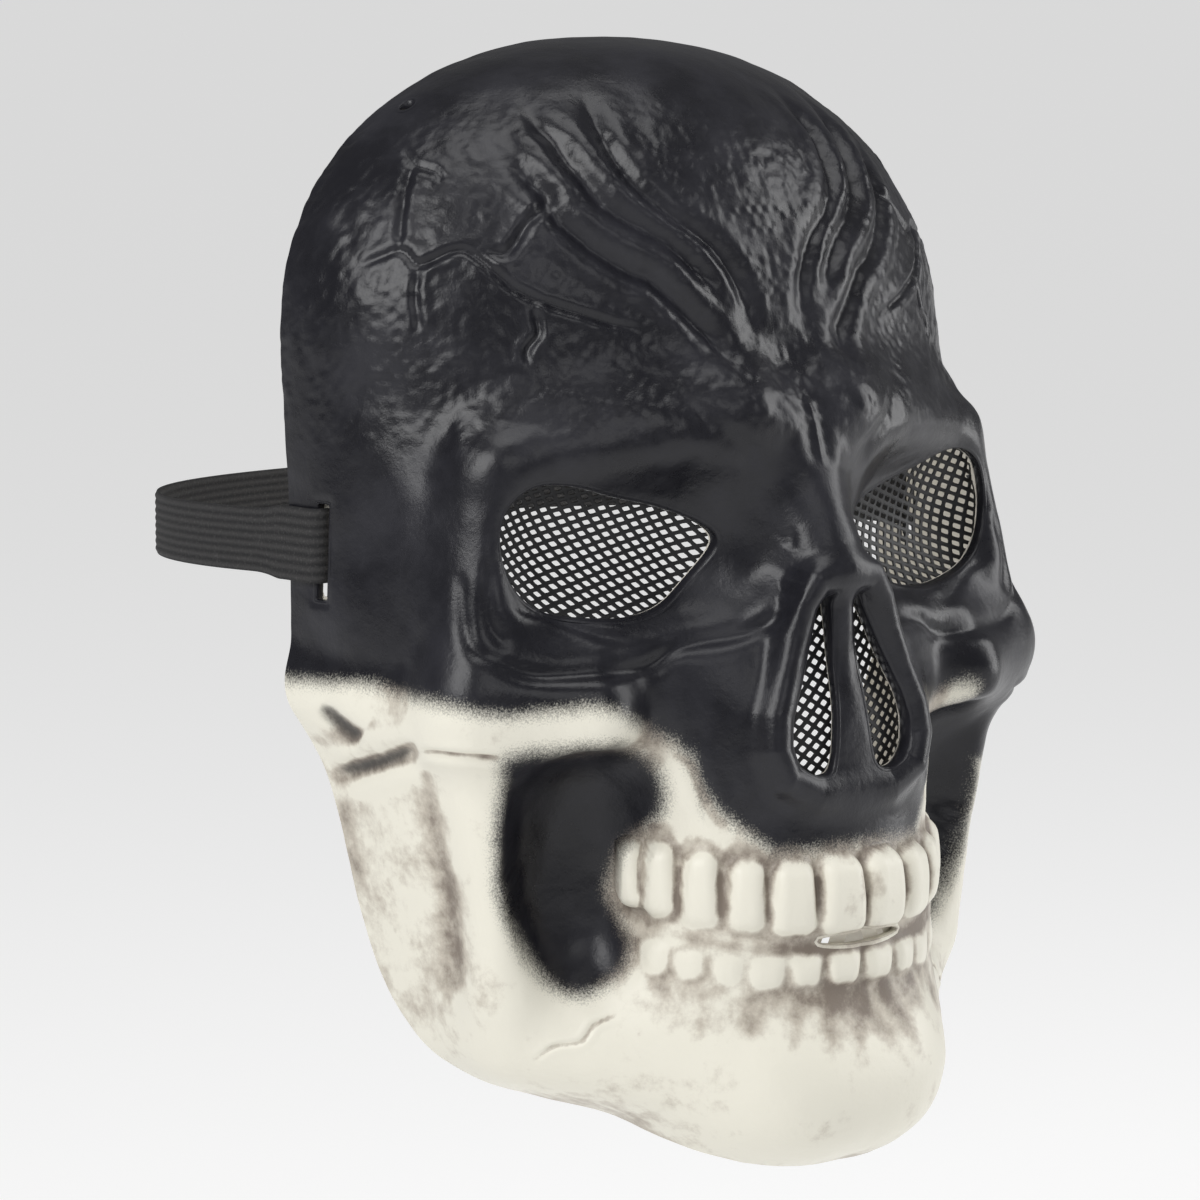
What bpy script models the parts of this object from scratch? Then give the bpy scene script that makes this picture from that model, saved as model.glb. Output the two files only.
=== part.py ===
"""Skull mask: a hollow moulded face with mesh eyes and nose and an elastic head strap.

Tables are in millimetres and the finished objects in metres. The origin is midway between
the two strap slots; the face looks along -Y, +Z is up and +X is the wearer's left.
The face is modelled as clay: a body given level by level, then lumps pressed on or cut out.
"""
import math
from collections import namedtuple

import bmesh
import bpy
import numpy as np

MM = 0.001
ADD, CUT = "add", "cut"
MIDDLE, PAIR = (1,), (1, -1)

# Driving dimensions
WALL = 2.4
CLEARANCE = 0.3
SLOT_WIDTH, SLOT_HEIGHT, SLOT_Y = 4.5, 24.0, -2.2
HALF_WIDTH = 100.0
MESH_THICKNESS = 0.8
MESH_LAP = 3.0
MESH_CLEARANCE = 1.7
STRAP_WIDTH, STRAP_END_WIDTH, STRAP_THICKNESS = 16.0, 18.5, 1.5
STRAP_Z, STRAP_SAG = 1.5, -4.5
STRAP_DEPTH, STRAP_SQUARENESS = 104.0, 2.5

Level = namedtuple("Level", "height half_width front squareness")
LEVELS = [
    Level(110, 102.0, -57, 1.72),
    Level(85, 102.0, -57, 1.85),
    Level(62, 101.5, -58, 1.95),
    Level(38, 100.5, -62, 2.05),
    Level(20, HALF_WIDTH, -66, 2.35),
    Level(0, HALF_WIDTH, -68, 2.8),
    Level(-25, 100.5, -68, 2.9),
    Level(-45, 97.0, -60, 3.6),
    Level(-56, 92.0, -50, 5.0),
    Level(-75, 86.5, -46, 5.0),
    Level(-99, 81.0, -45, 5.0),
    Level(-117, 77.0, -50, 4.2),
    Level(-128, 73.0, -56, 3.4),
    Level(-150, 60.0, -62, 2.6),
]
WALL_Y = 12
CROWN_Z, CROWN_RISE, CROWN_POWER = 45, 79, 2.2
BASE_Z, BASE_DROP = -122, 31

Ball = namedtuple("Ball", "name action sides centre radii squareness blend")
Bar = namedtuple("Bar", "name action sides start end start_radius end_radius blend")
CLAY = [
    Ball("upper jaw", ADD, MIDDLE, (0, -43, -46), (50, 44, 40), 2.2, 14),
    Ball("tooth arch", ADD, MIDDLE, (0, -45, -95), (47, 45, 72), 2.3, 10),
    Bar("jaw body", ADD, PAIR, (61, -34, -118), (18, -75, -128), 14, 15, 14),
    Ball("chin", ADD, MIDDLE, (0, -71, -134), (31, 27.5, 19), 2.2, 14),
    Bar("jaw edge", ADD, PAIR, (81, -40.5, -50), (72, -38.5, -108), 8, 7, 10),
    Bar("brow ridge", ADD, PAIR, (16, -61, 33), (71.5, -39, 23), 11, 8, 14),
    Bar("orbit side", ADD, PAIR, (75, -38.5, 18), (85, -43, -31), 8.5, 11, 10),
    Bar("cheekbone", ADD, PAIR, (86, -44, -36), (62, -60, -37), 11.5, 11, 12),
    Bar("cheek arch", ADD, PAIR, (88, -38, -39), (96.5, 20, -33), 8, 7.5, 7),
    Bar("nasal bone", ADD, MIDDLE, (0, -62, 26), (0, -74, -3), 9.5, 11, 12),
    Bar("eye socket", CUT, PAIR, (40, -78, 2), (68, -68, 3), 24, 22, 6),
    Ball("temple", CUT, PAIR, (119, -26, 14), (22, 24, 36), 2.0, 6),
    Ball("cheek hollow", CUT, PAIR, (62, -64, -77), (18, 24, 30), 2.2, 6),
    Ball("nose seat", ADD, MIDDLE, (0, -62, -33), (19.5, 20.3, 27), 3.5, 4),
    Bar("septum", ADD, MIDDLE, (0, -81.5, -8), (0, -81.0, -53), 3.2, 4.6, 2),
]
NOSE_RIM = [(0, -83, -5.5), (11.5, -82.6, -9), (14.5, -82.2, -20), (18.5, -83, -31), (22, -83.8, -39),
            (22.5, -84.8, -46), (19, -86, -53), (11, -86, -57.5), (0, -85.5, -58.5)]
NOSE_RIM_RADIUS, NOSE_RIM_BLEND = 3.6, 4

# Crowns: where on the arch, how wide, and from which height down to which
Tooth = namedtuple("Tooth", "turn width top bottom")
UPPER_TEETH = [
    Tooth(8.6, 13.2, -74, -94.6),
    Tooth(24.8, 12.0, -74, -94.2),
    Tooth(38.9, 10.2, -73, -92.8),
    Tooth(52.3, 10.2, -71, -91.8),
    Tooth(65.1, 9.2, -70, -89.6),
    Tooth(75.5, 7.0, -71, -87.5),
]
LOWER_TEETH = [
    Tooth(7.2, 10.8, -96.5, -108),
    Tooth(20.4, 9.2, -96.5, -108),
    Tooth(32.6, 9.6, -96.5, -108),
    Tooth(44.4, 8.4, -96, -107),
    Tooth(55.9, 8.4, -95, -106),
    Tooth(66.4, 7.0, -94, -105),
]
Arch = namedtuple("Arch", "teeth reach_x reach_y thickness rounding blend")
ARCHES = [Arch(UPPER_TEETH, 46.5, 45.0, 9.0, 2.6, 1.5), Arch(LOWER_TEETH, 45.0, 43.2, 8.0, 2.4, 1.5)]
ARCH_CENTRE_Y = -45
Block = namedtuple("Block", "name action sides centre size turn rounding blend")

# Rays leave this upright axis and fan out to meet the skin
AXIS_Y = 14
UPPER_RISE, LOWER_RISE, LOWER_TILT = 40, 88, 0.42

# The back rim plane and the lower rim plane meet in a rounded corner
BACK_RIM_Y, BACK_RIM_LEAN = 10.5, 0.05
LOWER_RIM_Z, LOWER_RIM_SLOPE, RIM_CORNER = -133.0, 0.25, 45

COLUMNS, ROWS = 44, 54
COLUMN_CROWDING, ROW_CROWDING = 0.30, 0.12

# Outlines on the wearer's left side, seen from the front as x, z; the top hole as x, y
EYE_OUTLINE = [(22.5, 2), (26, 7), (37, 11.5), (49, 14.5), (62, 18), (72, 18), (79, 13),
               (81, 4), (78, -6), (71, -12), (60, -14.5), (47, -15), (36, -12), (27, -5)]
NOSE_OUTLINE = [(4, -11), (6, -12.5), (8, -17), (10.8, -24.5), (13.2, -31), (15.7, -37.5), (17, -44),
                (15.5, -50), (12, -52.5), (8.5, -52), (6.8, -49), (5.4, -42), (4.5, -32), (3.6, -20)]
NOSE_MESH_OUTLINE = [(0, -8), (8, -9), (13, -17), (17, -28), (21, -43), (20, -52), (12, -56),
                     (0, -57)]
MOUTH = (0, -95.2, 27, 3.4)
TOP_HOLE = (65, 7.5, 4.2, 3.6)

# Where each cutter starts and stops: in y, in z for the top hole and in x for the slots
EYE_CUT, NOSE_CUT, MOUTH_CUT = (-90, -20), (-105, -50), (-110, -60)
HOLE_CUT, SLOT_CUT = (90, 130), (88, 108)

# Where the walk in to the clay starts on a ray, beyond the skin on every side
SKIN_START, FRONT_START, SIDE_START = 190, 230, 130


# Clay


def curve(knots, values, at):
    """Natural cubic through a column of the level table."""
    order = np.argsort(knots)
    x, y = np.array(knots, float)[order], np.array(values, float)[order]
    gap = np.diff(x)
    count = len(x)
    matrix, right = np.eye(count), np.zeros(count)
    for i in range(1, count - 1):
        matrix[i, i - 1:i + 2] = gap[i - 1], 2 * (gap[i - 1] + gap[i]), gap[i]
        right[i] = 6 * ((y[i + 1] - y[i]) / gap[i] - (y[i] - y[i - 1]) / gap[i - 1])
    bend = np.linalg.solve(matrix, right)
    i = np.clip(np.searchsorted(x, at) - 1, 0, count - 2)
    after, before, w = at - x[i], x[i + 1] - at, gap[i]
    bent = (bend[i] * before**3 + bend[i + 1] * after**3) / (6 * w)
    return bent + (y[i] / w - bend[i] * w / 6) * before + (y[i + 1] / w - bend[i + 1] * w / 6) * after


HEIGHTS = [level.height for level in LEVELS]
FINE_Z = np.linspace(min(HEIGHTS), max(HEIGHTS), 521)
HALF_WIDTHS = curve(HEIGHTS, [level.half_width for level in LEVELS], FINE_Z)
FRONTS = curve(HEIGHTS, [level.front for level in LEVELS], FINE_Z)
SQUARENESS = curve(HEIGHTS, [level.squareness for level in LEVELS], FINE_Z)


def soft_min(a, b, blend):
    overlap = np.maximum(blend - np.abs(a - b), 0) / blend
    return np.minimum(a, b) - overlap * overlap * blend / 4


def body_depth(points):
    """Roughly the distance outside the body of the level table."""
    x, y, z = points.T
    wide = np.interp(z, FINE_Z, HALF_WIDTHS)
    deep = WALL_Y - np.interp(z, FINE_Z, FRONTS)
    power = np.interp(z, FINE_Z, SQUARENESS)
    back = np.maximum(WALL_Y - y, 0)
    up = np.maximum(z - CROWN_Z, 0)
    down = np.maximum(BASE_Z - z, 0)
    reach = ((np.abs(x) / wide) ** power + (back / deep) ** power) ** (CROWN_POWER / power)
    reach = reach + (up / CROWN_RISE) ** CROWN_POWER + (down / BASE_DROP) ** CROWN_POWER
    reach = np.maximum(reach ** (1 / CROWN_POWER), 0.05)
    return np.sqrt(x * x + back * back + up * up + down * down) * (1 - 1 / reach)


def ball_depth(points, ball):
    local = np.abs(points - np.array(ball.centre, float))
    radii, power = np.array(ball.radii, float), ball.squareness
    reach = np.maximum(((local / radii) ** power).sum(axis=1) ** (1 / power), 0.02)
    slope = np.linalg.norm(local ** (power - 1) / radii**power, axis=1) / reach ** (power - 1)
    return (reach - 1) / np.maximum(slope, 1 / radii.max())


def bar_depth(points, bar):
    start, end = np.array(bar.start, float), np.array(bar.end, float)
    along = end - start
    share = np.clip((points - start) @ along / (along @ along), 0, 1)
    radius = bar.start_radius + (bar.end_radius - bar.start_radius) * share
    return np.linalg.norm(points - start - share[:, None] * along, axis=1) - radius


def block_depth(points, block):
    """Upright block with rounded edges, turned about Z."""
    turn = math.radians(block.turn)
    local = points - np.array(block.centre, float)
    across = local[:, 0] * math.cos(turn) + local[:, 1] * math.sin(turn)
    outward = local[:, 0] * math.sin(turn) - local[:, 1] * math.cos(turn)
    over = np.abs(np.stack([across, outward, local[:, 2]], axis=1))
    over = over - np.array(block.size, float) / 2 + block.rounding
    outside = np.linalg.norm(np.maximum(over, 0), axis=1)
    return outside + np.minimum(over.max(axis=1), 0) - block.rounding


def tooth_blocks():
    blocks = []
    for arch in ARCHES:
        for tooth in arch.teeth:
            turn = math.radians(tooth.turn)
            centre = (arch.reach_x * math.sin(turn), ARCH_CENTRE_Y - arch.reach_y * math.cos(turn),
                      (tooth.top + tooth.bottom) / 2)
            size = (tooth.width, arch.thickness, tooth.top - tooth.bottom)
            blocks.append(Block("tooth", ADD, PAIR, centre, size, tooth.turn, arch.rounding,
                                arch.blend))
    return blocks


def nose_rim():
    return [Bar("nose rim", ADD, PAIR, start, end, NOSE_RIM_RADIUS, NOSE_RIM_RADIUS, NOSE_RIM_BLEND)
            for start, end in zip(NOSE_RIM, NOSE_RIM[1:])]


LUMPS = CLAY + nose_rim() + tooth_blocks()
DEPTHS = {"Ball": ball_depth, "Bar": bar_depth, "Block": block_depth}


def skull_depth(points):
    depth = body_depth(points)
    for lump in LUMPS:
        for side in lump.sides:
            seen = points * np.array((side, 1, 1))
            own = DEPTHS[type(lump).__name__](seen, lump)
            if lump.action == ADD:
                depth = soft_min(depth, own, lump.blend)
            else:
                depth = -soft_min(-depth, own, lump.blend)
    return depth


def settle(origins, directions, level, start, steps=90):
    """Walk in along each ray until the clay is as deep as the level."""
    reach = np.full(len(origins), float(start))
    for _ in range(steps):
        gap = skull_depth(origins + directions * reach[:, None]) - level
        reach = reach - np.clip(gap, -4, 25) * 0.8
    return origins + directions * reach[:, None]


# Rays and rim


def rays_of(p, q):
    """Origin and direction of the ray for each place on the unit disc."""
    bend = np.hypot(p, q) * math.pi / 2
    side = np.where(bend > 1e-9, np.sin(bend) / np.maximum(bend, 1e-9), 1.0) * math.pi / 2
    lateral, upward = p * side, q * side
    tilt = np.where(upward > 0, 1.0, LOWER_TILT)
    rise = np.where(upward > 0, UPPER_RISE, LOWER_RISE)
    directions = np.stack([lateral, -np.cos(bend), upward * tilt], axis=1)
    directions /= np.linalg.norm(directions, axis=1, keepdims=True)
    origins = np.stack([0 * p, 0 * p + AXIS_Y, upward * rise], axis=1)
    return origins, directions


def rim_room(points):
    """Positive on the side of the rim that is kept."""
    y, z = points[:, 1], points[:, 2]
    back = BACK_RIM_Y + BACK_RIM_LEAN * z - y
    lower = z - LOWER_RIM_Z - LOWER_RIM_SLOPE * y
    return soft_min(back, lower, RIM_CORNER)


def rim_reach(angles):
    low, high = np.full(len(angles), 0.35), np.full(len(angles), 1.12)
    for _ in range(20):
        middle = (low + high) / 2
        origins, directions = rays_of(middle * np.cos(angles), middle * np.sin(angles))
        room = rim_room(settle(origins, directions, 0, SKIN_START, steps=50))
        low = np.where(room > 0, middle, low)
        high = np.where(room > 0, high, middle)
    return (low + high) / 2


def skin_rays():
    """Rays of a grid squeezed onto the disc, closer together over the face."""
    u = np.linspace(-1, 1, COLUMNS + 1)
    v = np.linspace(-1, 1, ROWS + 1)
    u = u * (1 - COLUMN_CROWDING) + COLUMN_CROWDING * u**3
    v = v * (1 - ROW_CROWDING) + ROW_CROWDING * v**3
    u, v = [side.ravel() for side in np.meshgrid(u, v)]
    p, q = u * np.sqrt(1 - v * v / 2), v * np.sqrt(1 - u * u / 2)
    angles = np.linspace(-math.pi, math.pi, 181)
    rim = np.interp(np.arctan2(q, p), angles, rim_reach(angles))
    return rays_of(p * rim, q * rim)


# Mesh helpers


def clear_scene():
    for item in list(bpy.data.objects):
        bpy.data.objects.remove(item, do_unlink=True)


def material(name, colour, roughness, metallic=0.0):
    made = bpy.data.materials.new(name)
    made.use_nodes = True
    shader = made.node_tree.nodes["Principled BSDF"]
    shader.inputs["Base Color"].default_value = (*colour, 1)
    shader.inputs["Roughness"].default_value = roughness
    shader.inputs["Metallic"].default_value = metallic
    return made


def solid(name, points, faces, finish=None):
    """Closed body from millimetre points, faces turned outward."""
    mesh = bpy.data.meshes.new(name)
    mesh.from_pydata([tuple(point) for point in np.array(points, float) * MM], [], faces)
    body = bmesh.new()
    body.from_mesh(mesh)
    bmesh.ops.recalc_face_normals(body, faces=body.faces)
    body.to_mesh(mesh)
    body.free()
    made = bpy.data.objects.new(name, mesh)
    bpy.context.scene.collection.objects.link(made)
    if finish:
        mesh.materials.append(finish)
    return made


def two_skins(front, back, columns, rows):
    """Faces of a sheet of points with a front skin, a back skin and an edge all round."""
    wide = columns + 1
    count = wide * (rows + 1)
    faces = []
    for row in range(rows):
        for column in range(columns):
            a = row * wide + column
            quad = (a, a + 1, a + 1 + wide, a + wide)
            faces.append(quad)
            faces.append(tuple(reversed([corner + count for corner in quad])))
    loop = [column for column in range(columns)]
    loop += [row * wide + columns for row in range(rows)]
    loop += [rows * wide + column for column in range(columns, 0, -1)]
    loop += [row * wide for row in range(rows, 0, -1)]
    for here, there in zip(loop, loop[1:] + loop[:1]):
        faces.append((there, here, here + count, there + count))
    return np.concatenate([front, back]), faces


def prism(name, outline, near, far, upright=False):
    """Cutter along Y from an x, z outline, or upright along Z from an x, y one."""
    count = len(outline)
    points = [(x, near, z) for x, z in outline] + [(x, far, z) for x, z in outline]
    if upright:
        points = [(x, y, z) for x, z, y in points]
    faces = [tuple(range(count)), tuple(reversed(range(count, 2 * count)))]
    for i in range(count):
        j = (i + 1) % count
        faces.append((j, i, i + count, j + count))
    made = solid(name, points, faces)
    made.hide_render = True
    made.display_type = "WIRE"
    return made


def block(name, low, high):
    corners = [(low[0], low[2]), (high[0], low[2]), (high[0], high[2]), (low[0], high[2])]
    return prism(name, corners, low[1], high[1])


def cut(target, cutters):
    for cutter in cutters:
        step = target.modifiers.new(cutter.name, "BOOLEAN")
        step.operation = "DIFFERENCE"
        step.solver = "EXACT"
        step.object = cutter
        with bpy.context.temp_override(object=target, active_object=target):
            bpy.ops.object.modifier_apply(modifier=step.name)
        bpy.data.objects.remove(cutter, do_unlink=True)


def mirrored(outline):
    return [(-x, z) for x, z in reversed(outline)]


def oval(x, z, width, height, points=10):
    turns = [2 * math.pi * i / points for i in range(points)]
    return [(x + width / 2 * math.cos(t), z + height / 2 * math.sin(t)) for t in turns]


# Sub-parts


def make_shell(finish):
    origins, directions = skin_rays()
    outer = settle(origins, directions, 0, SKIN_START)
    inner = settle(origins, directions, -WALL, SKIN_START)
    shell = solid("mask_shell", *two_skins(outer, inner, COLUMNS, ROWS), finish)
    mouth_x, mouth_z, mouth_width, mouth_height = MOUTH
    hole_x, hole_y, hole_width, hole_depth = TOP_HOLE
    slot_low = (SLOT_CUT[0], SLOT_Y - SLOT_WIDTH / 2, -SLOT_HEIGHT / 2)
    slot_high = (SLOT_CUT[1], SLOT_Y + SLOT_WIDTH / 2, SLOT_HEIGHT / 2)
    cutters = [prism("mouth", oval(mouth_x, mouth_z, mouth_width, mouth_height, 12), *MOUTH_CUT)]
    for side, turned in (("left", lambda outline: outline), ("right", mirrored)):
        cutters.append(prism("eye " + side, turned(EYE_OUTLINE), *EYE_CUT))
        cutters.append(prism("nose " + side, turned(NOSE_OUTLINE), *NOSE_CUT))
        hole = oval(hole_x, hole_y, hole_width, hole_depth, 8)
        cutters.append(prism("hole " + side, turned(hole), *HOLE_CUT, upright=True))
    cutters.append(block("slot left", slot_low, slot_high))
    cutters.append(block("slot right", (-slot_high[0], *slot_low[1:]), (-slot_low[0], *slot_high[1:])))
    cut(shell, cutters)
    return shell


def grown(outline, lap):
    """The outline moved outward by the lap."""
    points = np.array(outline, float)
    ahead = np.roll(points, -1, axis=0) - np.roll(points, 1, axis=0)
    away = np.stack([ahead[:, 1], -ahead[:, 0]], axis=1)
    away /= np.linalg.norm(away, axis=1, keepdims=True)
    middle = points.mean(axis=0)
    away *= np.sign(((points - middle) * away).sum(axis=1, keepdims=True))
    return points + away * lap


def behind_shell(spots, level):
    """Points on the clay at a level, found straight back from x, z spots."""
    origins = np.stack([spots[:, 0], 0 * spots[:, 0] + 60, spots[:, 1]], axis=1)
    directions = np.tile((0.0, -1.0, 0.0), (len(spots), 1))
    return settle(origins, directions, level, FRONT_START)


def make_mesh_panel(name, outline, finish, rings=4):
    """Thin panel that follows the back of the shell inside an outline."""
    middle = outline.mean(axis=0)
    count = len(outline)
    spots = [middle]
    for ring in range(1, rings + 1):
        spots.extend(middle + (outline - middle) * ring / rings)
    spots = np.array(spots)
    front = behind_shell(spots, -WALL - MESH_CLEARANCE)
    back = behind_shell(spots, -WALL - MESH_CLEARANCE - MESH_THICKNESS)
    faces = []
    for i in range(count):
        j = (i + 1) % count
        faces.append((0, 1 + i, 1 + j))
        for ring in range(rings - 1):
            a, b = 1 + ring * count, 1 + (ring + 1) * count
            faces.append((a + i, b + i, b + j, a + j))
    total = len(spots)
    faces += [tuple(reversed([corner + total for corner in face])) for face in faces]
    last = 1 + (rings - 1) * count
    for i in range(count):
        j = (i + 1) % count
        faces.append((last + j, last + i, last + i + total, last + j + total))
    return solid(name, np.concatenate([front, back]), faces, finish)


def edge_strip_x(level):
    """Where the side wall stands between slot and rim, over the height of the strap end."""
    y, z = np.meshgrid((SLOT_Y, 0, 4, BACK_RIM_Y + 1), np.linspace(-0.5, 0.5, 5) * STRAP_END_WIDTH + STRAP_Z)
    origins = np.stack([0 * y.ravel(), y.ravel(), z.ravel()], axis=1)
    directions = np.tile((1.0, 0.0, 0.0), (len(origins), 1))
    return settle(origins, directions, level, SIDE_START)[:, 0]


def strap_route():
    """Middle of the strap in plan: end inside the rim, out through the slot, round the back."""
    wall_out, wall_in = edge_strip_x(0).max() + 0.2, edge_strip_x(-WALL).min() - 0.2
    lift = STRAP_THICKNESS / 2 + CLEARANCE
    turn = SLOT_Y + 0.6
    side = [(wall_in - lift, BACK_RIM_Y + 9), (wall_in - lift, BACK_RIM_Y), (wall_in - lift, 2.5),
            (wall_in - lift + 0.4, turn + 0.9), ((wall_in + wall_out) / 2, turn),
            (wall_out + lift - 0.4, turn + 0.9), (wall_out + lift, 2.5),
            (wall_out + lift, BACK_RIM_Y), (wall_out + lift - 0.3, BACK_RIM_Y + 9)]
    start = side[-1]
    loop = []
    for i in range(1, 24):
        turn_angle = math.pi * i / 24
        c, s = math.cos(turn_angle), math.sin(turn_angle)
        x = start[0] * math.copysign(abs(c) ** (2 / STRAP_SQUARENESS), c)
        y = start[1] + STRAP_DEPTH * s ** (2 / STRAP_SQUARENESS)
        loop.append((x, y))
    return side + loop + [(-x, y) for x, y in reversed(side)]


def make_strap(finish):
    route = np.array(strap_route())
    ahead = np.gradient(route, axis=0)
    ahead /= np.linalg.norm(ahead, axis=1, keepdims=True)
    across = np.stack([ahead[:, 1], -ahead[:, 0]], axis=1) * STRAP_THICKNESS / 2
    count = len(route)
    points = []
    for i, (spot, edge) in enumerate(zip(route, across)):
        near_end = min(i, count - 1 - i)
        half = (STRAP_END_WIDTH if near_end < 8 else STRAP_WIDTH) / 2
        droop = max(0.0, (spot[1] - BACK_RIM_Y) / (STRAP_DEPTH + 9)) * STRAP_SAG
        middle_z = STRAP_Z + droop
        for x, y, z in ((*(spot + edge), middle_z - half), (*(spot - edge), middle_z - half),
                        (*(spot - edge), middle_z + half), (*(spot + edge), middle_z + half)):
            points.append((x, y, z))
    faces = [(0, 1, 2, 3), tuple(4 * (count - 1) + k for k in (3, 2, 1, 0))]
    for i in range(count - 1):
        for k in range(4):
            a, b = 4 * i + k, 4 * i + (k + 1) % 4
            faces.append((a, b, b + 4, a + 4))
    return solid("head_strap", points, faces, finish)


def main():
    clear_scene()
    shell_finish = material("moulded plastic", (0.035, 0.036, 0.042), 0.38)
    mesh_finish = material("coated mesh", (0.02, 0.02, 0.02), 0.5, 0.6)
    strap_finish = material("elastic webbing", (0.03, 0.03, 0.032), 0.85)
    make_shell(shell_finish)
    eye = grown(EYE_OUTLINE, MESH_LAP)
    make_mesh_panel("eye_mesh_left", eye, mesh_finish)
    make_mesh_panel("eye_mesh_right", np.array(mirrored(eye)), mesh_finish)
    nose = NOSE_MESH_OUTLINE + mirrored(NOSE_MESH_OUTLINE)[1:-1]
    make_mesh_panel("nose_mesh", np.array(nose, float), mesh_finish)
    make_strap(strap_finish)


main()
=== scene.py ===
"""Skull mask dressed for its photograph: painted face, mesh eyes and nose, ribbed elastic.

Lengths in the tables are millimetres and finished pieces are in metres. The face is the clay
of the part's source with a finer nose and teeth, laid on a much finer grid. Places on the
photograph are pixels of its 1200 by 1200 frame, always on the wearer's right half, and the
left half mirrors them.
"""
import math
from collections import namedtuple

import bmesh
import bpy
import numpy as np
from mathutils import Matrix, Vector


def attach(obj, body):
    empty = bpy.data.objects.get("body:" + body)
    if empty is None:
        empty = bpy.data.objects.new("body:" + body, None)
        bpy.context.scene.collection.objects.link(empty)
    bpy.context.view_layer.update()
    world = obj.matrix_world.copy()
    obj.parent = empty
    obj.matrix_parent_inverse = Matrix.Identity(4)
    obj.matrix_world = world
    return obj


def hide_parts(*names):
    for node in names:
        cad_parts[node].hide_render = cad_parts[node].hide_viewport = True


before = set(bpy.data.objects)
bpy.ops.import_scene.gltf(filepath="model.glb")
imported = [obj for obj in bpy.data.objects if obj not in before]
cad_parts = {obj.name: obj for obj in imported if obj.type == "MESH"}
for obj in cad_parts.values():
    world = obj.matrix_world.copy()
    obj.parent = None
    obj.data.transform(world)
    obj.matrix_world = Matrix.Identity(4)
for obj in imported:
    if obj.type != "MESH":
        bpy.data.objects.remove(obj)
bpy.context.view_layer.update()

MM = 0.001
ADD, CUT = "add", "cut"
MIDDLE, PAIR = (1,), (1, -1)

WALL = 2.4
CLEARANCE = 0.3
HALF_WIDTH = 100.0
SLOT_WIDTH, SLOT_HEIGHT, SLOT_Y = 4.5, 24.0, -2.2

STRAP_WIDTH, STRAP_END_WIDTH, STRAP_THICKNESS = 16.0, 18.5, 1.5
STRAP_Z, STRAP_SAG = 1.5, -4.5
STRAP_DEPTH, STRAP_SQUARENESS = 104.0, 2.5
STRAP_RIBS, RIB_HEIGHT, RIB_CELLS = 8, 0.22, 8
STRAP_STEP, STRAP_LEAD = 1.2, 9
STRAP_FOLD = (7.2, 8.2)

# Expanded mesh: the two steps from strand to strand, as x, z, and how far behind the shell
Net = namedtuple("Net", "name stands_for side outline first second")
NET_DEPTH, NET_LAP, NOSE_NET_LAP, NET_THICKNESS, NET_STRAND = 1.6, 2.4, 0.5, 0.4, 1.36

# Camera of the photograph
CAMERA_TURN, CAMERA_RISE, CAMERA_DISTANCE = -40.0, 7.5, 1400.0
CAMERA_TARGET = (0.0, 10.4, -21.5)
FRAME_PIXELS, MM_PER_PIXEL = 1200, 0.26
SENSOR = 36.0

Level = namedtuple("Level", "height half_width front squareness")
LEVELS = [
    Level(110, 102.0, -57, 1.72),
    Level(85, 102.0, -57, 1.85),
    Level(62, 101.5, -58, 1.95),
    Level(38, 100.5, -62, 2.05),
    Level(20, HALF_WIDTH, -66, 2.35),
    Level(0, HALF_WIDTH, -68, 2.8),
    Level(-25, 100.5, -68, 2.9),
    Level(-45, 97.0, -60, 3.6),
    Level(-56, 92.0, -50, 5.0),
    Level(-75, 86.5, -46, 5.0),
    Level(-99, 81.0, -45, 5.0),
    Level(-117, 77.0, -50, 4.2),
    Level(-128, 73.0, -56, 3.4),
    Level(-150, 60.0, -62, 2.6),
]
WALL_Y = 12
CROWN_Z, CROWN_RISE, CROWN_POWER = 45, 79, 2.2
BASE_Z, BASE_DROP = -122, 31

Ball = namedtuple("Ball", "name action sides centre radii squareness blend")
Bar = namedtuple("Bar", "name action sides start end start_radius end_radius blend")
CLAY = [
    Ball("upper jaw", ADD, MIDDLE, (0, -43, -46), (50, 44, 40), 2.2, 14),
    Ball("tooth arch", ADD, MIDDLE, (0, -45, -95), (47, 45, 72), 2.3, 10),
    Bar("jaw body", ADD, PAIR, (61, -34, -118), (18, -75, -128), 14, 15, 14),
    Ball("chin", ADD, MIDDLE, (0, -71, -134), (31, 27.5, 19), 2.2, 14),
    Bar("jaw edge", ADD, PAIR, (81, -40.5, -50), (72, -38.5, -108), 8, 7, 10),
    Bar("brow ridge", ADD, PAIR, (16, -61, 33), (71.5, -39, 23), 11, 8, 14),
    Bar("orbit side", ADD, PAIR, (75, -38.5, 18), (85, -43, -31), 8.5, 11, 10),
    Bar("cheekbone", ADD, PAIR, (86, -44, -36), (62, -60, -37), 11.5, 11, 12),
    Bar("cheek arch", ADD, PAIR, (88, -38, -39), (96.5, 20, -33), 8, 7.5, 7),
    Bar("nasal bone", ADD, MIDDLE, (0, -62, 26), (0, -74, -3), 9.5, 11, 12),
    Bar("eye socket", CUT, PAIR, (40, -78, 2), (68, -68, 3), 24, 22, 6),
    Ball("temple", CUT, PAIR, (119, -26, 14), (22, 24, 36), 2.0, 6),
    Ball("cheek hollow", CUT, PAIR, (62, -64, -77), (18, 24, 30), 2.2, 6),
    Ball("nose seat", ADD, MIDDLE, (0, -62, -33), (22.5, 20.3, 27.5), 3.5, 4),
    Bar("septum", ADD, MIDDLE, (0, -81.5, -8), (0, -81.0, -53), 3.2, 4.6, 2),
]
Path = namedtuple("Path", "name action sides points radius blend")
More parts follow.
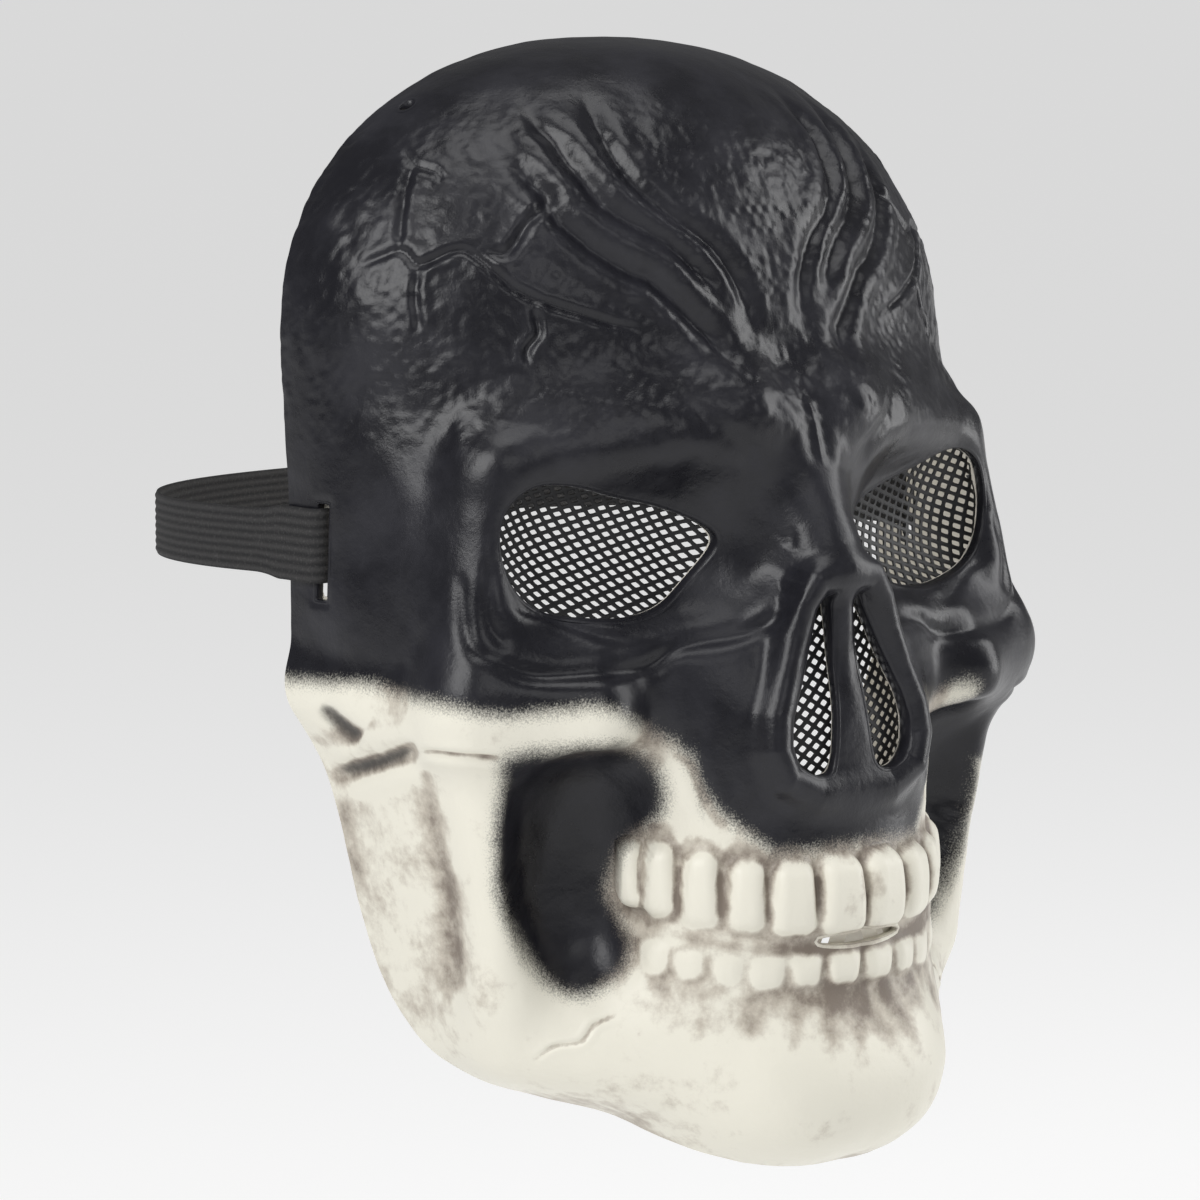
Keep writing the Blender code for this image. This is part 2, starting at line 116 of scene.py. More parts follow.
NOSE_RIM = [(0, -83.5, -5.0), (9.0, -83.2, -6.5), (12.8, -82.6, -12), (15.4, -82.2, -20), (19.2, -83, -30),
            (22.6, -83.8, -39), (23.6, -84.8, -47), (21.0, -86, -54.5), (12, -86.2, -59), (0, -85.7, -59.8)]
NOSE_RIM_RADIUS, NOSE_RIM_BLEND = 3.5, 5

# Crowns: where on the arch, how wide, and from which height down to which
Tooth = namedtuple("Tooth", "turn width top bottom")
UPPER_TEETH = [
    Tooth(8.6, 13.2, -74, -94.6),
    Tooth(24.8, 12.0, -74, -94.2),
    Tooth(38.9, 10.2, -73, -92.8),
    Tooth(52.3, 10.2, -71, -91.8),
    Tooth(65.1, 9.2, -70, -89.6),
    Tooth(75.5, 7.0, -71, -87.5),
]
LOWER_TEETH = [
    Tooth(7.2, 10.8, -96.5, -108),
    Tooth(20.4, 9.2, -96.5, -108),
    Tooth(32.6, 9.6, -96.5, -108),
    Tooth(44.4, 8.4, -96, -107),
    Tooth(55.9, 8.4, -95, -106),
    Tooth(66.4, 7.0, -94, -105),
]
Arch = namedtuple("Arch", "teeth reach_x reach_y thickness rounding blend taper")
ARCHES = [Arch(UPPER_TEETH, 46.5, 45.2, 9.8, 4.2, 1.6, 0.15),
          Arch(LOWER_TEETH, 45.0, 43.4, 8.4, 3.6, 1.8, -0.12)]
ARCH_CENTRE_Y = -45
Block = namedtuple("Block", "name action sides centre size turn rounding blend taper")
CROWN_BULGE = 1.8

AXIS_Y = 14
UPPER_RISE, LOWER_RISE, LOWER_TILT = 40, 88, 0.42
BACK_RIM_Y, BACK_RIM_LEAN = 10.5, 0.05
LOWER_RIM_Z, LOWER_RIM_SLOPE, RIM_CORNER = -133.0, 0.25, 45

SKIN_COLUMNS, SKIN_ROWS, SKIN_PATCHES = 480, 540, 3
COARSE_COLUMNS, COARSE_ROWS = 120, 140
SKIN_START, FRONT_START, HOLE_START = 190, 230, 140
LINING_SHARE = 3
COLUMN_CROWDING, ROW_CROWDING = 0.30, 0.12

EYE_OUTLINE = [(22.5, 2), (26, 7), (37, 11.5), (49, 14.5), (62, 18), (72, 18), (79, 13),
               (81, 4), (78, -6), (71, -12), (60, -14.5), (47, -15), (36, -12), (27, -5)]
NOSE_OUTLINE = [(4, -10.5), (6.4, -12), (9, -17.5), (12, -24.5), (15, -31), (18, -37.5), (19.6, -44),
                (18.4, -50.5), (13.5, -54), (8.5, -54), (6.4, -50.5), (5.2, -42), (4.4, -32), (3.6, -20)]
NOSE_MESH_OUTLINE = [(0, -8), (8.4, -9), (13.5, -17), (18.6, -28), (23, -43), (22, -53), (13.5, -57.8),
                     (0, -58.8)]
MOUTH = (0, -95.2, 27, 3.4)
TOP_HOLE = (65, 7.5, 4.2, 3.6)
NETS = [
    Net("eye_net_right", "eye_mesh_right", -1, EYE_OUTLINE, (2.43, 0.74), (1.47, -1.98)),
    Net("eye_net_left", "eye_mesh_left", 1, EYE_OUTLINE, (3.1, -1.05), (-0.65, -2.15)),
    Net("nose_net", "nose_mesh", 1, NOSE_MESH_OUTLINE, (2.07, -1.47), (-1.87, -1.85)),
]

# Lips round the openings: how far outside the edge and how high, from the face to the lining
LIP_FACE = [(0.9, 0.03), (0.45, 0.10), (0.1, 0.02), (-0.12, -0.35), (-0.18, -0.9)]
LIP_BACK = [(-0.18, 0.6), (0.25, -0.05), (0.9, -0.1)]
RIM_SWELL = 0.45

# Creases and ridges of the moulding, as strokes over the photograph
Stroke = namedtuple("Stroke", "name places depth width swell")
EAR_NOTCH = [(317, 702), (335, 722), (350, 735), (362, 742)]
STROKES = [
    Stroke("outer furrow", [(486, 149), (508, 159), (526, 176), (546, 195), (553, 213), (572, 231),
                            (596, 250), (630, 271), (651, 280), (667, 293), (691, 317), (713, 339),
                            (731, 360), (765, 394)], 2.0, 9, 0.8),
    Stroke("middle furrow", [(517, 84), (532, 117), (550, 137), (569, 161), (587, 182), (602, 201),
                             (624, 216), (651, 231), (676, 247), (694, 265), (713, 286),
                             (731, 314)], 2.0, 9, 0.8),
    Stroke("inner furrow", [(575, 91), (587, 106), (599, 127), (612, 152), (627, 173), (645, 195),
                            (670, 216), (694, 231), (713, 247), (728, 265), (740, 286),
                            (749, 314), (758, 354)], 1.8, 8, 0.7),
    Stroke("temple crack", [(352, 256), (362, 264), (399, 250), (418, 264), (448, 252), (465, 250),
                            (486, 264), (517, 290), (553, 305), (581, 314), (609, 323),
                            (633, 329), (651, 342)], 0.9, 4, 0.35),
    Stroke("crack branch", [(530, 296), (537, 320), (538, 335), (527, 351), (530, 366)], 0.9, 4, 0.35),
    Stroke("crack link", [(465, 250), (503, 253), (514, 244), (526, 225), (538, 213), (546, 195)],
           0.9, 5, 0.4),
    Stroke("crack spur", [(418, 264), (415, 294), (419, 335)], 0.6, 4, 0.2),
    Stroke("upper crack", [(402, 146), (415, 165), (434, 171), (443, 182)], 0.6, 4, 0.2),
    Stroke("upper crack spur", [(413, 165), (404, 195), (398, 250)], 0.6, 4, 0.2),
    Stroke("socket fold", [(472, 640), (500, 662), (537, 674), (590, 672), (646, 667), (682, 645),
                           (743, 633), (779, 614), (803, 575)], 1.1, 8, 0.25),
    Stroke("lid fold", [(488, 555), (491, 577), (488, 609), (494, 631), (510, 653)], 0.7, 7, 0.1),
    Stroke("lid crack", [(459, 570), (462, 590), (464, 620), (471, 648), (497, 664)], 0.5, 6, 0.1),
    Stroke("bag fold", [(516, 596), (525, 607), (545, 611), (564, 620), (600, 634), (640, 640)],
           0.7, 7, 0.3),
    Stroke("tear groove", [(787, 530), (790, 540), (789, 548)], 0.5, 7, 0.1),
    Stroke("nasion worry", [(800, 372), (806, 410), (812, 440), (818, 470)], 0.6, 8, 0.3),
    Stroke("brow fold", [(640, 372), (668, 392), (700, 412), (735, 440), (770, 468)], 0.8, 12, 0.3),
    Stroke("lateral fold", [(464, 452), (500, 430), (545, 420), (590, 424)], 0.6, 12, 0.2),
    Stroke("upper jaw fold", [(667, 750), (690, 765), (700, 790), (705, 800), (718, 820), (735, 825)],
           0.8, 8, 0.3),
    Stroke("hollow fold", [(518, 770), (514, 810), (511, 850), (510, 890)], 0.8, 8, 0.2),
    Stroke("jaw crack", [(531, 1064), (553, 1047), (581, 1042), (594, 1025), (619, 1014)],
           0.5, 2.5, 0.2),
    Stroke("arch seam", [(416, 752), (450, 756), (509, 760)], 0.8, 4, 0.3),
    Stroke("ear notch", EAR_NOTCH, 1.4, 9, 0.3),
    Stroke("ear furrow", [(328, 775), (365, 768), (395, 758), (420, 750)], 1.6, 10, 0.4),
]

# Lumps of the leathery skin: how high, how wide and the seed of their noise
Lump = namedtuple("Lump", "height size seed")
LEATHER, PEBBLES = Lump(0.35, 4.0, 5), Lump(0.16, 1.8, 6)
WAVES, RIPPLES = Lump(0.35, 14, 9), Lump(0.12, 5, 10)
LEATHER_EDGE, LEATHER_PATCH, LEATHER_SEED = (-0.2, 0.6), 26, 8
BROW_FROM, BROW_TO, EDGE_ROOM = (18, 40), (95, 118), (0.2, 2.5)

# Paint, read off the photograph: the black's lower edge, how far lower it lies on the far cheek,
# the black of the cheek hollow, brown stain with painted shade in gaps and roots, and painted
# shade in the ear notch
BLACK_EDGE = [(270, 676), (300, 681), (340, 681), (372, 684), (422, 699), (470, 711), (505, 716),
              (545, 712), (592, 705), (619, 712), (650, 728), (674, 742), (694, 767), (703, 792),
              (722, 812), (746, 831), (774, 852), (817, 848), (866, 840), (900, 838)]
CHEEK_PAINT = [(509, 760), (564, 752), (605, 747), (633, 751), (657, 770), (663, 798), (655, 820),
               (632, 834), (619, 850), (605, 888), (616, 916), (628, 945), (621, 968), (592, 990),
               (575, 993), (550, 982), (523, 949), (504, 908), (496, 845), (503, 790)]
FAR_DROP, FAR_FROM, FAR_END, FAR_FADE = 115, (40, 60), 640, 60
PAINT_FADE = 120.0
StainAndShade = namedtuple("StainAndShade", "places width strength")
# Brown stain with painted shade, as strokes in the gaps between teeth and roots, along the gum and bite
# lines, and on the ear notch, jaw side and chin
STAINS_AND_GAP_SHADE = [
    StainAndShade([(765, 872), (766, 900), (765, 928)], 5, 1.1),
    StainAndShade([(818, 872), (817, 895), (816, 918)], 5, 1.1),
    StainAndShade([(866, 868), (865, 890), (863, 905)], 5, 1.1),
    StainAndShade([(900, 862), (899, 885), (897, 905)], 4, 1.0),
    StainAndShade([(719, 866), (720, 895), (722, 932)], 5, 1.0),
    StainAndShade([(681, 862), (677, 890), (680, 922)], 5, 1.0),
    StainAndShade([(648, 862), (648, 885), (647, 912)], 5, 1.0),
    StainAndShade([(640, 920), (690, 938), (740, 948), (800, 950), (860, 946), (915, 925)], 6, 0.9),
    StainAndShade([(640, 850), (700, 858), (760, 868), (820, 866), (880, 856), (925, 842)], 9, 0.5),
    StainAndShade([(833, 975), (834, 1030), (830, 1095)], 11, 0.9),
    StainAndShade([(860, 975), (862, 1030), (858, 1085)], 9, 0.8),
    StainAndShade([(893, 965), (893, 1010), (889, 1060)], 8, 0.7),
    StainAndShade([(798, 985), (796, 1030), (792, 1075)], 9, 0.6),
    StainAndShade([(748, 990), (750, 1020), (746, 1050)], 11, 0.8),
    StainAndShade([(704, 985), (700, 1020), (692, 1050)], 9, 0.6),
    StainAndShade([(664, 965), (660, 1000), (650, 1030)], 9, 0.6),
    StainAndShade([(330, 720), (360, 745), (390, 742), (420, 730)], 16, 0.7),
    StainAndShade([(345, 790), (352, 850), (370, 920)], 9, 0.6),
    StainAndShade([(430, 790), (450, 860), (475, 950), (520, 1010)], 16, 0.5),
    StainAndShade([(790, 1120), (830, 1130), (870, 1115)], 16, 0.6),
]
EAR_SHADE = [StainAndShade(EAR_NOTCH, 8, 0.8), StainAndShade([(330, 773), (365, 768), (395, 758), (414, 751)], 8, 0.8)]
STAIN_AND_SHADE_FADE, EAR_FADE = 0.35, 0.3

# Painted shade and brown stain darken the cream in hollows: how many grid steps wide and how deep they are
# for its full effect
HOLLOWS = [(3, 0.24), (8, 0.6)]
HOLLOW_LIMIT, STAIN_AND_SHADE_SHARE = 1.2, 1.3


# Clay


def curve(knots, values, at):
    """Natural cubic through a column of the level table."""
    order = np.argsort(knots)
    x, y = np.array(knots, float)[order], np.array(values, float)[order]
    gap = np.diff(x)
    count = len(x)
    matrix, right = np.eye(count), np.zeros(count)
    for i in range(1, count - 1):
        matrix[i, i - 1:i + 2] = gap[i - 1], 2 * (gap[i - 1] + gap[i]), gap[i]
        right[i] = 6 * ((y[i + 1] - y[i]) / gap[i] - (y[i] - y[i - 1]) / gap[i - 1])
    bend = np.linalg.solve(matrix, right)
    i = np.clip(np.searchsorted(x, at) - 1, 0, count - 2)
    after, before, w = at - x[i], x[i + 1] - at, gap[i]
    bent = (bend[i] * before**3 + bend[i + 1] * after**3) / (6 * w)
    return bent + (y[i] / w - bend[i] * w / 6) * before + (y[i + 1] / w - bend[i + 1] * w / 6) * after


HEIGHTS = [level.height for level in LEVELS]
FINE_Z = np.linspace(min(HEIGHTS), max(HEIGHTS), 521)
HALF_WIDTHS = curve(HEIGHTS, [level.half_width for level in LEVELS], FINE_Z)
FRONTS = curve(HEIGHTS, [level.front for level in LEVELS], FINE_Z)
SQUARENESS = curve(HEIGHTS, [level.squareness for level in LEVELS], FINE_Z)


def soft_min(a, b, blend):
    overlap = np.maximum(blend - np.abs(a - b), 0) / blend
    return np.minimum(a, b) - overlap * overlap * blend / 4


def body_depth(points):
    """Roughly the distance outside the body of the level table."""
    x, y, z = points.T
    wide = np.interp(z, FINE_Z, HALF_WIDTHS)
    deep = WALL_Y - np.interp(z, FINE_Z, FRONTS)
    power = np.interp(z, FINE_Z, SQUARENESS)
    back = np.maximum(WALL_Y - y, 0)
    up = np.maximum(z - CROWN_Z, 0)
    down = np.maximum(BASE_Z - z, 0)
    reach = ((np.abs(x) / wide) ** power + (back / deep) ** power) ** (CROWN_POWER / power)
    reach = reach + (up / CROWN_RISE) ** CROWN_POWER + (down / BASE_DROP) ** CROWN_POWER
    reach = np.maximum(reach ** (1 / CROWN_POWER), 0.05)
    return np.sqrt(x * x + back * back + up * up + down * down) * (1 - 1 / reach)


def ball_depth(points, ball):
    local = np.abs(points - np.array(ball.centre, float))
    radii, power = np.array(ball.radii, float), ball.squareness
    reach = np.maximum(((local / radii) ** power).sum(axis=1) ** (1 / power), 0.02)
    slope = np.linalg.norm(local ** (power - 1) / radii**power, axis=1) / reach ** (power - 1)
    return (reach - 1) / np.maximum(slope, 1 / radii.max())


def to_segment(places, a, b):
    """Distance from places to the stretch from a to b, and how far along it from 0 to 1."""
    along = b - a
    share = np.clip(((places - a) @ along) / max(along @ along, 1e-9), 0, 1)
    return np.linalg.norm(places - a - share[:, None] * along, axis=1), share


def bar_depth(points, bar):
    distance, share = to_segment(points, np.array(bar.start, float), np.array(bar.end, float))
    return distance - (bar.start_radius + (bar.end_radius - bar.start_radius) * share)


def block_depth(points, block):
    """Upright block with rounded edges, turned about Z, and its twin across the middle."""
    turn = math.radians(block.turn)
    local = np.abs(points) * (1, 0, 0) + points * (0, 1, 1) - np.array(block.centre, float)
    across = local[:, 0] * math.cos(turn) + local[:, 1] * math.sin(turn)
    outward = local[:, 0] * math.sin(turn) - local[:, 1] * math.cos(turn)
    upright = np.clip(local[:, 2] / (block.size[2] / 2), -1, 1)
    across = across / (1 - block.taper * upright)
    outward = outward + CROWN_BULGE * upright**2
    over = np.abs(np.stack([across, outward, local[:, 2]], axis=1))
    over = over - np.array(block.size, float) / 2 + block.rounding
    outside = np.linalg.norm(np.maximum(over, 0), axis=1)
    return outside + np.minimum(over.max(axis=1), 0) - block.rounding


def tooth_blocks():
    blocks = []
    for arch in ARCHES:
        for tooth in arch.teeth:
            turn = math.radians(tooth.turn)
            centre = (arch.reach_x * math.sin(turn), ARCH_CENTRE_Y - arch.reach_y * math.cos(turn),
                      (tooth.top + tooth.bottom) / 2)
            size = (tooth.width, arch.thickness, tooth.top - tooth.bottom)
            rounding = min(arch.rounding, 0.44 * tooth.width)
            blocks.append(Block("tooth", ADD, MIDDLE, centre, size, tooth.turn, rounding, arch.blend,
                                arch.taper))
    return blocks


def path_depth(points, path):
    """Rounded cord along a line of points, and its twin across the middle."""
    nearest = np.full(len(points), 1e9)
    points = np.abs(points) * (1, 0, 0) + points * (0, 1, 1)
    for start, end in zip(path.points, path.points[1:]):
        cord = Bar(path.name, path.action, path.sides, start, end, path.radius, path.radius, path.blend)
        nearest = np.minimum(nearest, bar_depth(points, cord))
    return nearest


LUMPS = CLAY + [Path("nose rim", ADD, MIDDLE, NOSE_RIM, NOSE_RIM_RADIUS, NOSE_RIM_BLEND)] + tooth_blocks()
DEPTHS = {"Ball": ball_depth, "Bar": bar_depth, "Block": block_depth, "Path": path_depth}


def skull_depth(points):
    depth = body_depth(points)
    for lump in LUMPS:
        for side in lump.sides:
            seen = points * np.array((side, 1, 1))
            own = DEPTHS[type(lump).__name__](seen, lump)
            if lump.action == ADD:
                depth = soft_min(depth, own, lump.blend)
            else:
                depth = -soft_min(-depth, own, lump.blend)
    return depth


def settle(origins, directions, level, start, steps=90):
    """Walk in along each ray until the clay is as deep as the level."""
    reach = np.full(len(origins), 1.0) * start
    for _ in range(steps):
        gap = skull_depth(origins + directions * reach[:, None]) - level
        reach = reach - np.clip(gap, -4, 25) * 0.8
    return reach


def rays_of(p, q):
    """Origin and direction of the ray for each place on the unit disc."""
    bend = np.hypot(p, q) * math.pi / 2
    side = np.where(bend > 1e-9, np.sin(bend) / np.maximum(bend, 1e-9), 1.0) * math.pi / 2
    lateral, upward = p * side, q * side
    tilt = np.where(upward > 0, 1.0, LOWER_TILT)
    rise = np.where(upward > 0, UPPER_RISE, LOWER_RISE)
    directions = np.stack([lateral, -np.cos(bend), upward * tilt], axis=1)
    directions /= np.linalg.norm(directions, axis=1, keepdims=True)
    origins = np.stack([0 * p, 0 * p + AXIS_Y, upward * rise], axis=1)
    return origins, directions


def rim_room(points):
    """Positive on the side of the rim that is kept."""
    y, z = points[:, 1], points[:, 2]
    back = BACK_RIM_Y + BACK_RIM_LEAN * z - y
    lower = z - LOWER_RIM_Z - LOWER_RIM_SLOPE * y
    return soft_min(back, lower, RIM_CORNER)


def rim_reach(angles):
    low, high = np.full(len(angles), 0.35), np.full(len(angles), 1.12)
    for _ in range(20):
        middle = (low + high) / 2
        origins, directions = rays_of(middle * np.cos(angles), middle * np.sin(angles))
        reach = settle(origins, directions, 0, SKIN_START, steps=50)
        room = rim_room(origins + directions * reach[:, None])
        low = np.where(room > 0, middle, low)
        high = np.where(room > 0, high, middle)
    return (low + high) / 2


RIM_ANGLES = np.linspace(-math.pi, math.pi, 241)
RIM_REACH = rim_reach(RIM_ANGLES)


def grid_rays(u, v):
    """Rays for places on the square grid, squeezed onto the disc and out to the rim."""
    u = u * (1 - COLUMN_CROWDING) + COLUMN_CROWDING * u**3
    v = v * (1 - ROW_CROWDING) + ROW_CROWDING * v**3
    p, q = u * np.sqrt(1 - v * v / 2), v * np.sqrt(1 - u * u / 2)
    rim = np.interp(np.arctan2(q, p), RIM_ANGLES, RIM_REACH)
    return rays_of(p * rim, q * rim)


def enlarge(table, rows, columns):
    """Straight-line resampling of a small table."""
    old_rows, old_columns = table.shape
    across = np.array([np.interp(np.linspace(0, 1, columns), np.linspace(0, 1, old_columns), line)
                       for line in table])
    return np.array([np.interp(np.linspace(0, 1, rows), np.linspace(0, 1, old_rows), line)
                     for line in across.T]).T


class Skin:
    """One face of the shell as a table of points over the grid."""

    def __init__(self, columns, rows, level):
        self.columns, self.rows, self.level = columns, rows, level
        u, v = np.meshgrid(np.linspace(-1, 1, columns + 1), np.linspace(-1, 1, rows + 1))
        self.u, self.v = u, v
        coarse_u, coarse_v = np.meshgrid(np.linspace(-1, 1, COARSE_COLUMNS + 1),
                                         np.linspace(-1, 1, COARSE_ROWS + 1))
        origins, directions = grid_rays(coarse_u.ravel(), coarse_v.ravel())
        coarse = settle(origins, directions, level, SKIN_START).reshape(coarse_u.shape)
        self.reach = enlarge(coarse, rows + 1, columns + 1)
        self.refresh(steps=9)

    def refresh(self, steps=9, where=None):
        """Settle the points again, all of them or where the mask says."""
        chosen = np.ones(self.u.shape, bool) if where is None else where
        origins, directions = grid_rays(self.u[chosen], self.v[chosen])
        reach = settle(origins, directions, self.level, self.reach[chosen] + 1.0, steps)
        self.reach[chosen] = reach
        if where is None:
            self.points = np.zeros((self.rows + 1, self.columns + 1, 3))
        self.points[chosen] = origins + directions * reach[:, None]

    def facing(self):
        """Outward normals."""
        along_u, along_v = np.gradient(self.points, axis=1), np.gradient(self.points, axis=0)
        normal = np.cross(along_u, along_v)
        return normal / np.maximum(np.linalg.norm(normal, axis=2, keepdims=True), 1e-9)


# Outlines


def grown(outline, lap):
    """The outline moved outward by the lap."""
    points = np.array(outline, float)
    ahead = np.roll(points, -1, axis=0) - np.roll(points, 1, axis=0)
    away = np.stack([ahead[:, 1], -ahead[:, 0]], axis=1)
    away /= np.maximum(np.linalg.norm(away, axis=1, keepdims=True), 1e-9)
    area = (points[:, 0] * np.roll(points[:, 1], -1) - np.roll(points[:, 0], -1) * points[:, 1]).sum()
    return points + away * lap * (1 if area > 0 else -1)


def mirrored(outline):
    return [(-x, z) for x, z in reversed(outline)]


def oval(x, z, width, height, points=24):
    turns = [2 * math.pi * i / points for i in range(points)]
    return [(x + width / 2 * math.cos(t), z + height / 2 * math.sin(t)) for t in turns]


def spline(a, b, c, d, t):
    """Place on the smooth curve from b to c, at t from 0 to 1."""
    return b + 0.5 * t * (c - a + t * (2 * a - 5 * b + 4 * c - d + t * (3 * (b - c) + d - a)))


def rounded(outline, points=10):
    """Closed smooth curve through the outline's points."""
    corners = np.array(outline, float)
    smooth = []
    for i in range(len(corners)):
        a, b, c, d = [corners[(i + k) % len(corners)] for k in (-1, 0, 1, 2)]
        smooth += [spline(a, b, c, d, step / points) for step in range(points)]
    return np.array(smooth)


def outline_distance(places, outline):
    """Distance to a closed outline, negative inside."""
    corners = np.array(outline, float)
    nearest = np.full(len(places), 1e9)
    inside = np.zeros(len(places), bool)
    for a, b in zip(corners, np.roll(corners, -1, axis=0)):
        nearest = np.minimum(nearest, to_segment(places, a, b)[0])
        rises = (a[1] > places[:, 1]) != (b[1] > places[:, 1])
        with np.errstate(divide="ignore", invalid="ignore"):
            crossing = a[0] + (places[:, 1] - a[1]) / (b[1] - a[1]) * (b[0] - a[0])
        inside ^= rises & (places[:, 0] < crossing)
    return np.where(inside, -nearest, nearest)


def smooth_line(line, points=4):
    """Open smooth curve through a line's points."""
    corners = np.array([line[0]] + list(line) + [line[-1]], float)
    smooth = []
    for a, b, c, d in zip(corners, corners[1:], corners[2:], corners[3:]):
        smooth += [spline(a, b, c, d, step / points) for step in range(points)]
    return np.array(smooth + [corners[-1]])


def stroke_distance(places, stroke):
    """Distance to an open line, and how far along it, from 0 to 1."""
    corners = np.array(stroke, float)
    nearest, along_at = np.full(len(places), 1e9), np.zeros(len(places))
    for i, (a, b) in enumerate(zip(corners, corners[1:])):
        distance, share = to_segment(places, a, b)
        closer = distance < nearest
        nearest = np.where(closer, distance, nearest)
        along_at = np.where(closer, (i + share) / (len(corners) - 1), along_at)
    return nearest, along_at


def beside(places, line, reach):
    """Which places lie in the box round a line, widened by the reach."""
    corners = np.array(line)
    return ((places > corners.min(axis=0) - reach) & (places < corners.max(axis=0) + reach)).all(axis=1)


# An opening's outline lies in the front (x, z), side (y, z) or top (x, y) plane, and counts
# beyond a place on the axis across it. Rays along that axis have an origin, a heading and a start
Plane = namedtuple("Plane", "first second across beyond origin heading start")
PLANES = {"front": Plane(0, 2, 1, -400, 60, -1, FRONT_START),
          "side": Plane(1, 2, 0, 60, 0, 1, HOLE_START),
          "top": Plane(0, 1, 2, 70, 0, 1, HOLE_START)}
OPENING_REACH = 8
Opening = namedtuple("Opening", "name outline plane")
SLOT_OUTLINE = [(SLOT_Y - SLOT_WIDTH / 2, -SLOT_HEIGHT / 2), (SLOT_Y + SLOT_WIDTH / 2, -SLOT_HEIGHT / 2),
                (SLOT_Y + SLOT_WIDTH / 2, SLOT_HEIGHT / 2), (SLOT_Y - SLOT_WIDTH / 2, SLOT_HEIGHT / 2)]
OPENINGS = [
    Opening("eye", rounded(EYE_OUTLINE), "front"),
    Opening("nose", rounded(NOSE_OUTLINE), "front"),
    Opening("top hole", np.array(oval(*TOP_HOLE)), "top"),
    Opening("mouth", np.array(oval(*MOUTH)), "front"),
    Opening("strap slot", np.array(SLOT_OUTLINE), "side"),
]


def opening_room(points):
    """Distance to the nearest opening's edge, negative inside it."""
    room = np.full(len(points), 50.0)
    left = np.abs(points[:, 0:1]) * (1, 0, 0) + points * (0, 1, 1)
    for opening in OPENINGS:
        plane = PLANES[opening.plane]
        places = left[:, (plane.first, plane.second)]
        near = beside(places, opening.outline, OPENING_REACH) & (left[:, plane.across] > plane.beyond)
        if near.any():
            found = outline_distance(places[near], opening.outline)
            room[near] = np.minimum(room[near], found)
    return room


def settle_points(origins, directions, level, start):
    return origins + directions * settle(origins, directions, level, start)[:, None]


def across_plane(name, spots, level, side=1):
    """Points on the clay at a level, found straight across a plane from spots in it."""
    plane = PLANES[name]
    origins, directions = np.zeros((len(spots), 3)), np.zeros((len(spots), 3))
    origins[:, plane.first], origins[:, plane.second] = spots.T
    origins[:, plane.across], directions[:, plane.across] = plane.origin, plane.heading
    return settle_points(origins, directions, level, plane.start) * (side, 1, 1)


def fit_to_openings(skin):
    """Slide grid points near an opening's edge onto it. Returns -1 inside, 0 on it, 1 outside."""
    room = opening_room(skin.points.reshape(-1, 3)).reshape(skin.u.shape)
    move = np.full(room.shape, 9.0)
    step_u, step_v = np.zeros(room.shape), np.zeros(room.shape)
    gap_u, gap_v = 2 / skin.columns, 2 / skin.rows
    for axis in (0, 1):
        here = [slice(None), slice(None)]
        there = [slice(None), slice(None)]
        here[axis], there[axis] = slice(0, -1), slice(1, None)
        here, there = tuple(here), tuple(there)
        a, b = room[here], room[there]
        crosses = (a < 0) != (b < 0)
        share = np.where(crosses, a / np.where(crosses, a - b, 1), 0)
        for place, shift in ((here, share), (there, share - 1)):
            better = crosses & (np.abs(shift) <= 0.5) & (np.abs(shift) < move[place])
            rows, columns = np.nonzero(better)
            rows, columns = rows + (place[0].start or 0), columns + (place[1].start or 0)
            move[rows, columns] = np.abs(shift[better])
            step_u[rows, columns] = shift[better] * gap_u if axis == 1 else 0
            step_v[rows, columns] = shift[better] * gap_v if axis == 0 else 0
    on_edge = move < 9
    skin.u = skin.u + step_u
    skin.v = skin.v + step_v
    skin.refresh(steps=12, where=on_edge)
    return np.where(on_edge, 0, np.where(room < 0, -1, 1))


# Detail on the skin


def photo_places(points):
    """Where points of the wearer's right half fall in the photograph."""
    turn, rise = math.radians(CAMERA_TURN), math.radians(CAMERA_RISE)
    back = np.array([math.sin(turn) * math.cos(rise), -math.cos(turn) * math.cos(rise),
                     math.sin(rise)])
    right = np.array([math.cos(turn), math.sin(turn), 0.0])
    up = np.cross(back, right)
    seen = points - np.array(CAMERA_TARGET)
    scale = CAMERA_DISTANCE / (CAMERA_DISTANCE - seen @ back) / MM_PER_PIXEL
    middle = FRAME_PIXELS / 2
    return np.stack([middle + seen @ right * scale, middle - seen @ up * scale], axis=1)


def folded(points):
    """Points mirrored onto the wearer's right half."""
    return np.stack([-np.abs(points[:, 0]), points[:, 1], points[:, 2]], axis=1)


def lattice_noise(points, size, seed):
    """Smooth noise from -1 to 1 with lumps of about the size."""
    table = np.random.RandomState(seed).uniform(-1, 1, (32, 32, 32))
    place = points / size
    base = np.floor(place).astype(int)
    part = place - base
    part = part * part * (3 - 2 * part)
    total = np.zeros(len(points))
    for corner in np.ndindex(2, 2, 2):
        weight = np.ones(len(points))
        for axis in range(3):
            weight = weight * (part[:, axis] if corner[axis] else 1 - part[:, axis])
        index = (base + np.array(corner)) % 32
        total += weight * table[index[:, 0], index[:, 1], index[:, 2]]
    return total


def smooth_step(low, high, value):
    share = np.clip((value - low) / (high - low), 0, 1)
    return share * share * (3 - 2 * share)


def around_line(places, line, reach):
    """Which places lie about a line, their distance to it and how far along it they are."""
    near = beside(places, line, reach)
    return near, *stroke_distance(places[near], smooth_line(line))


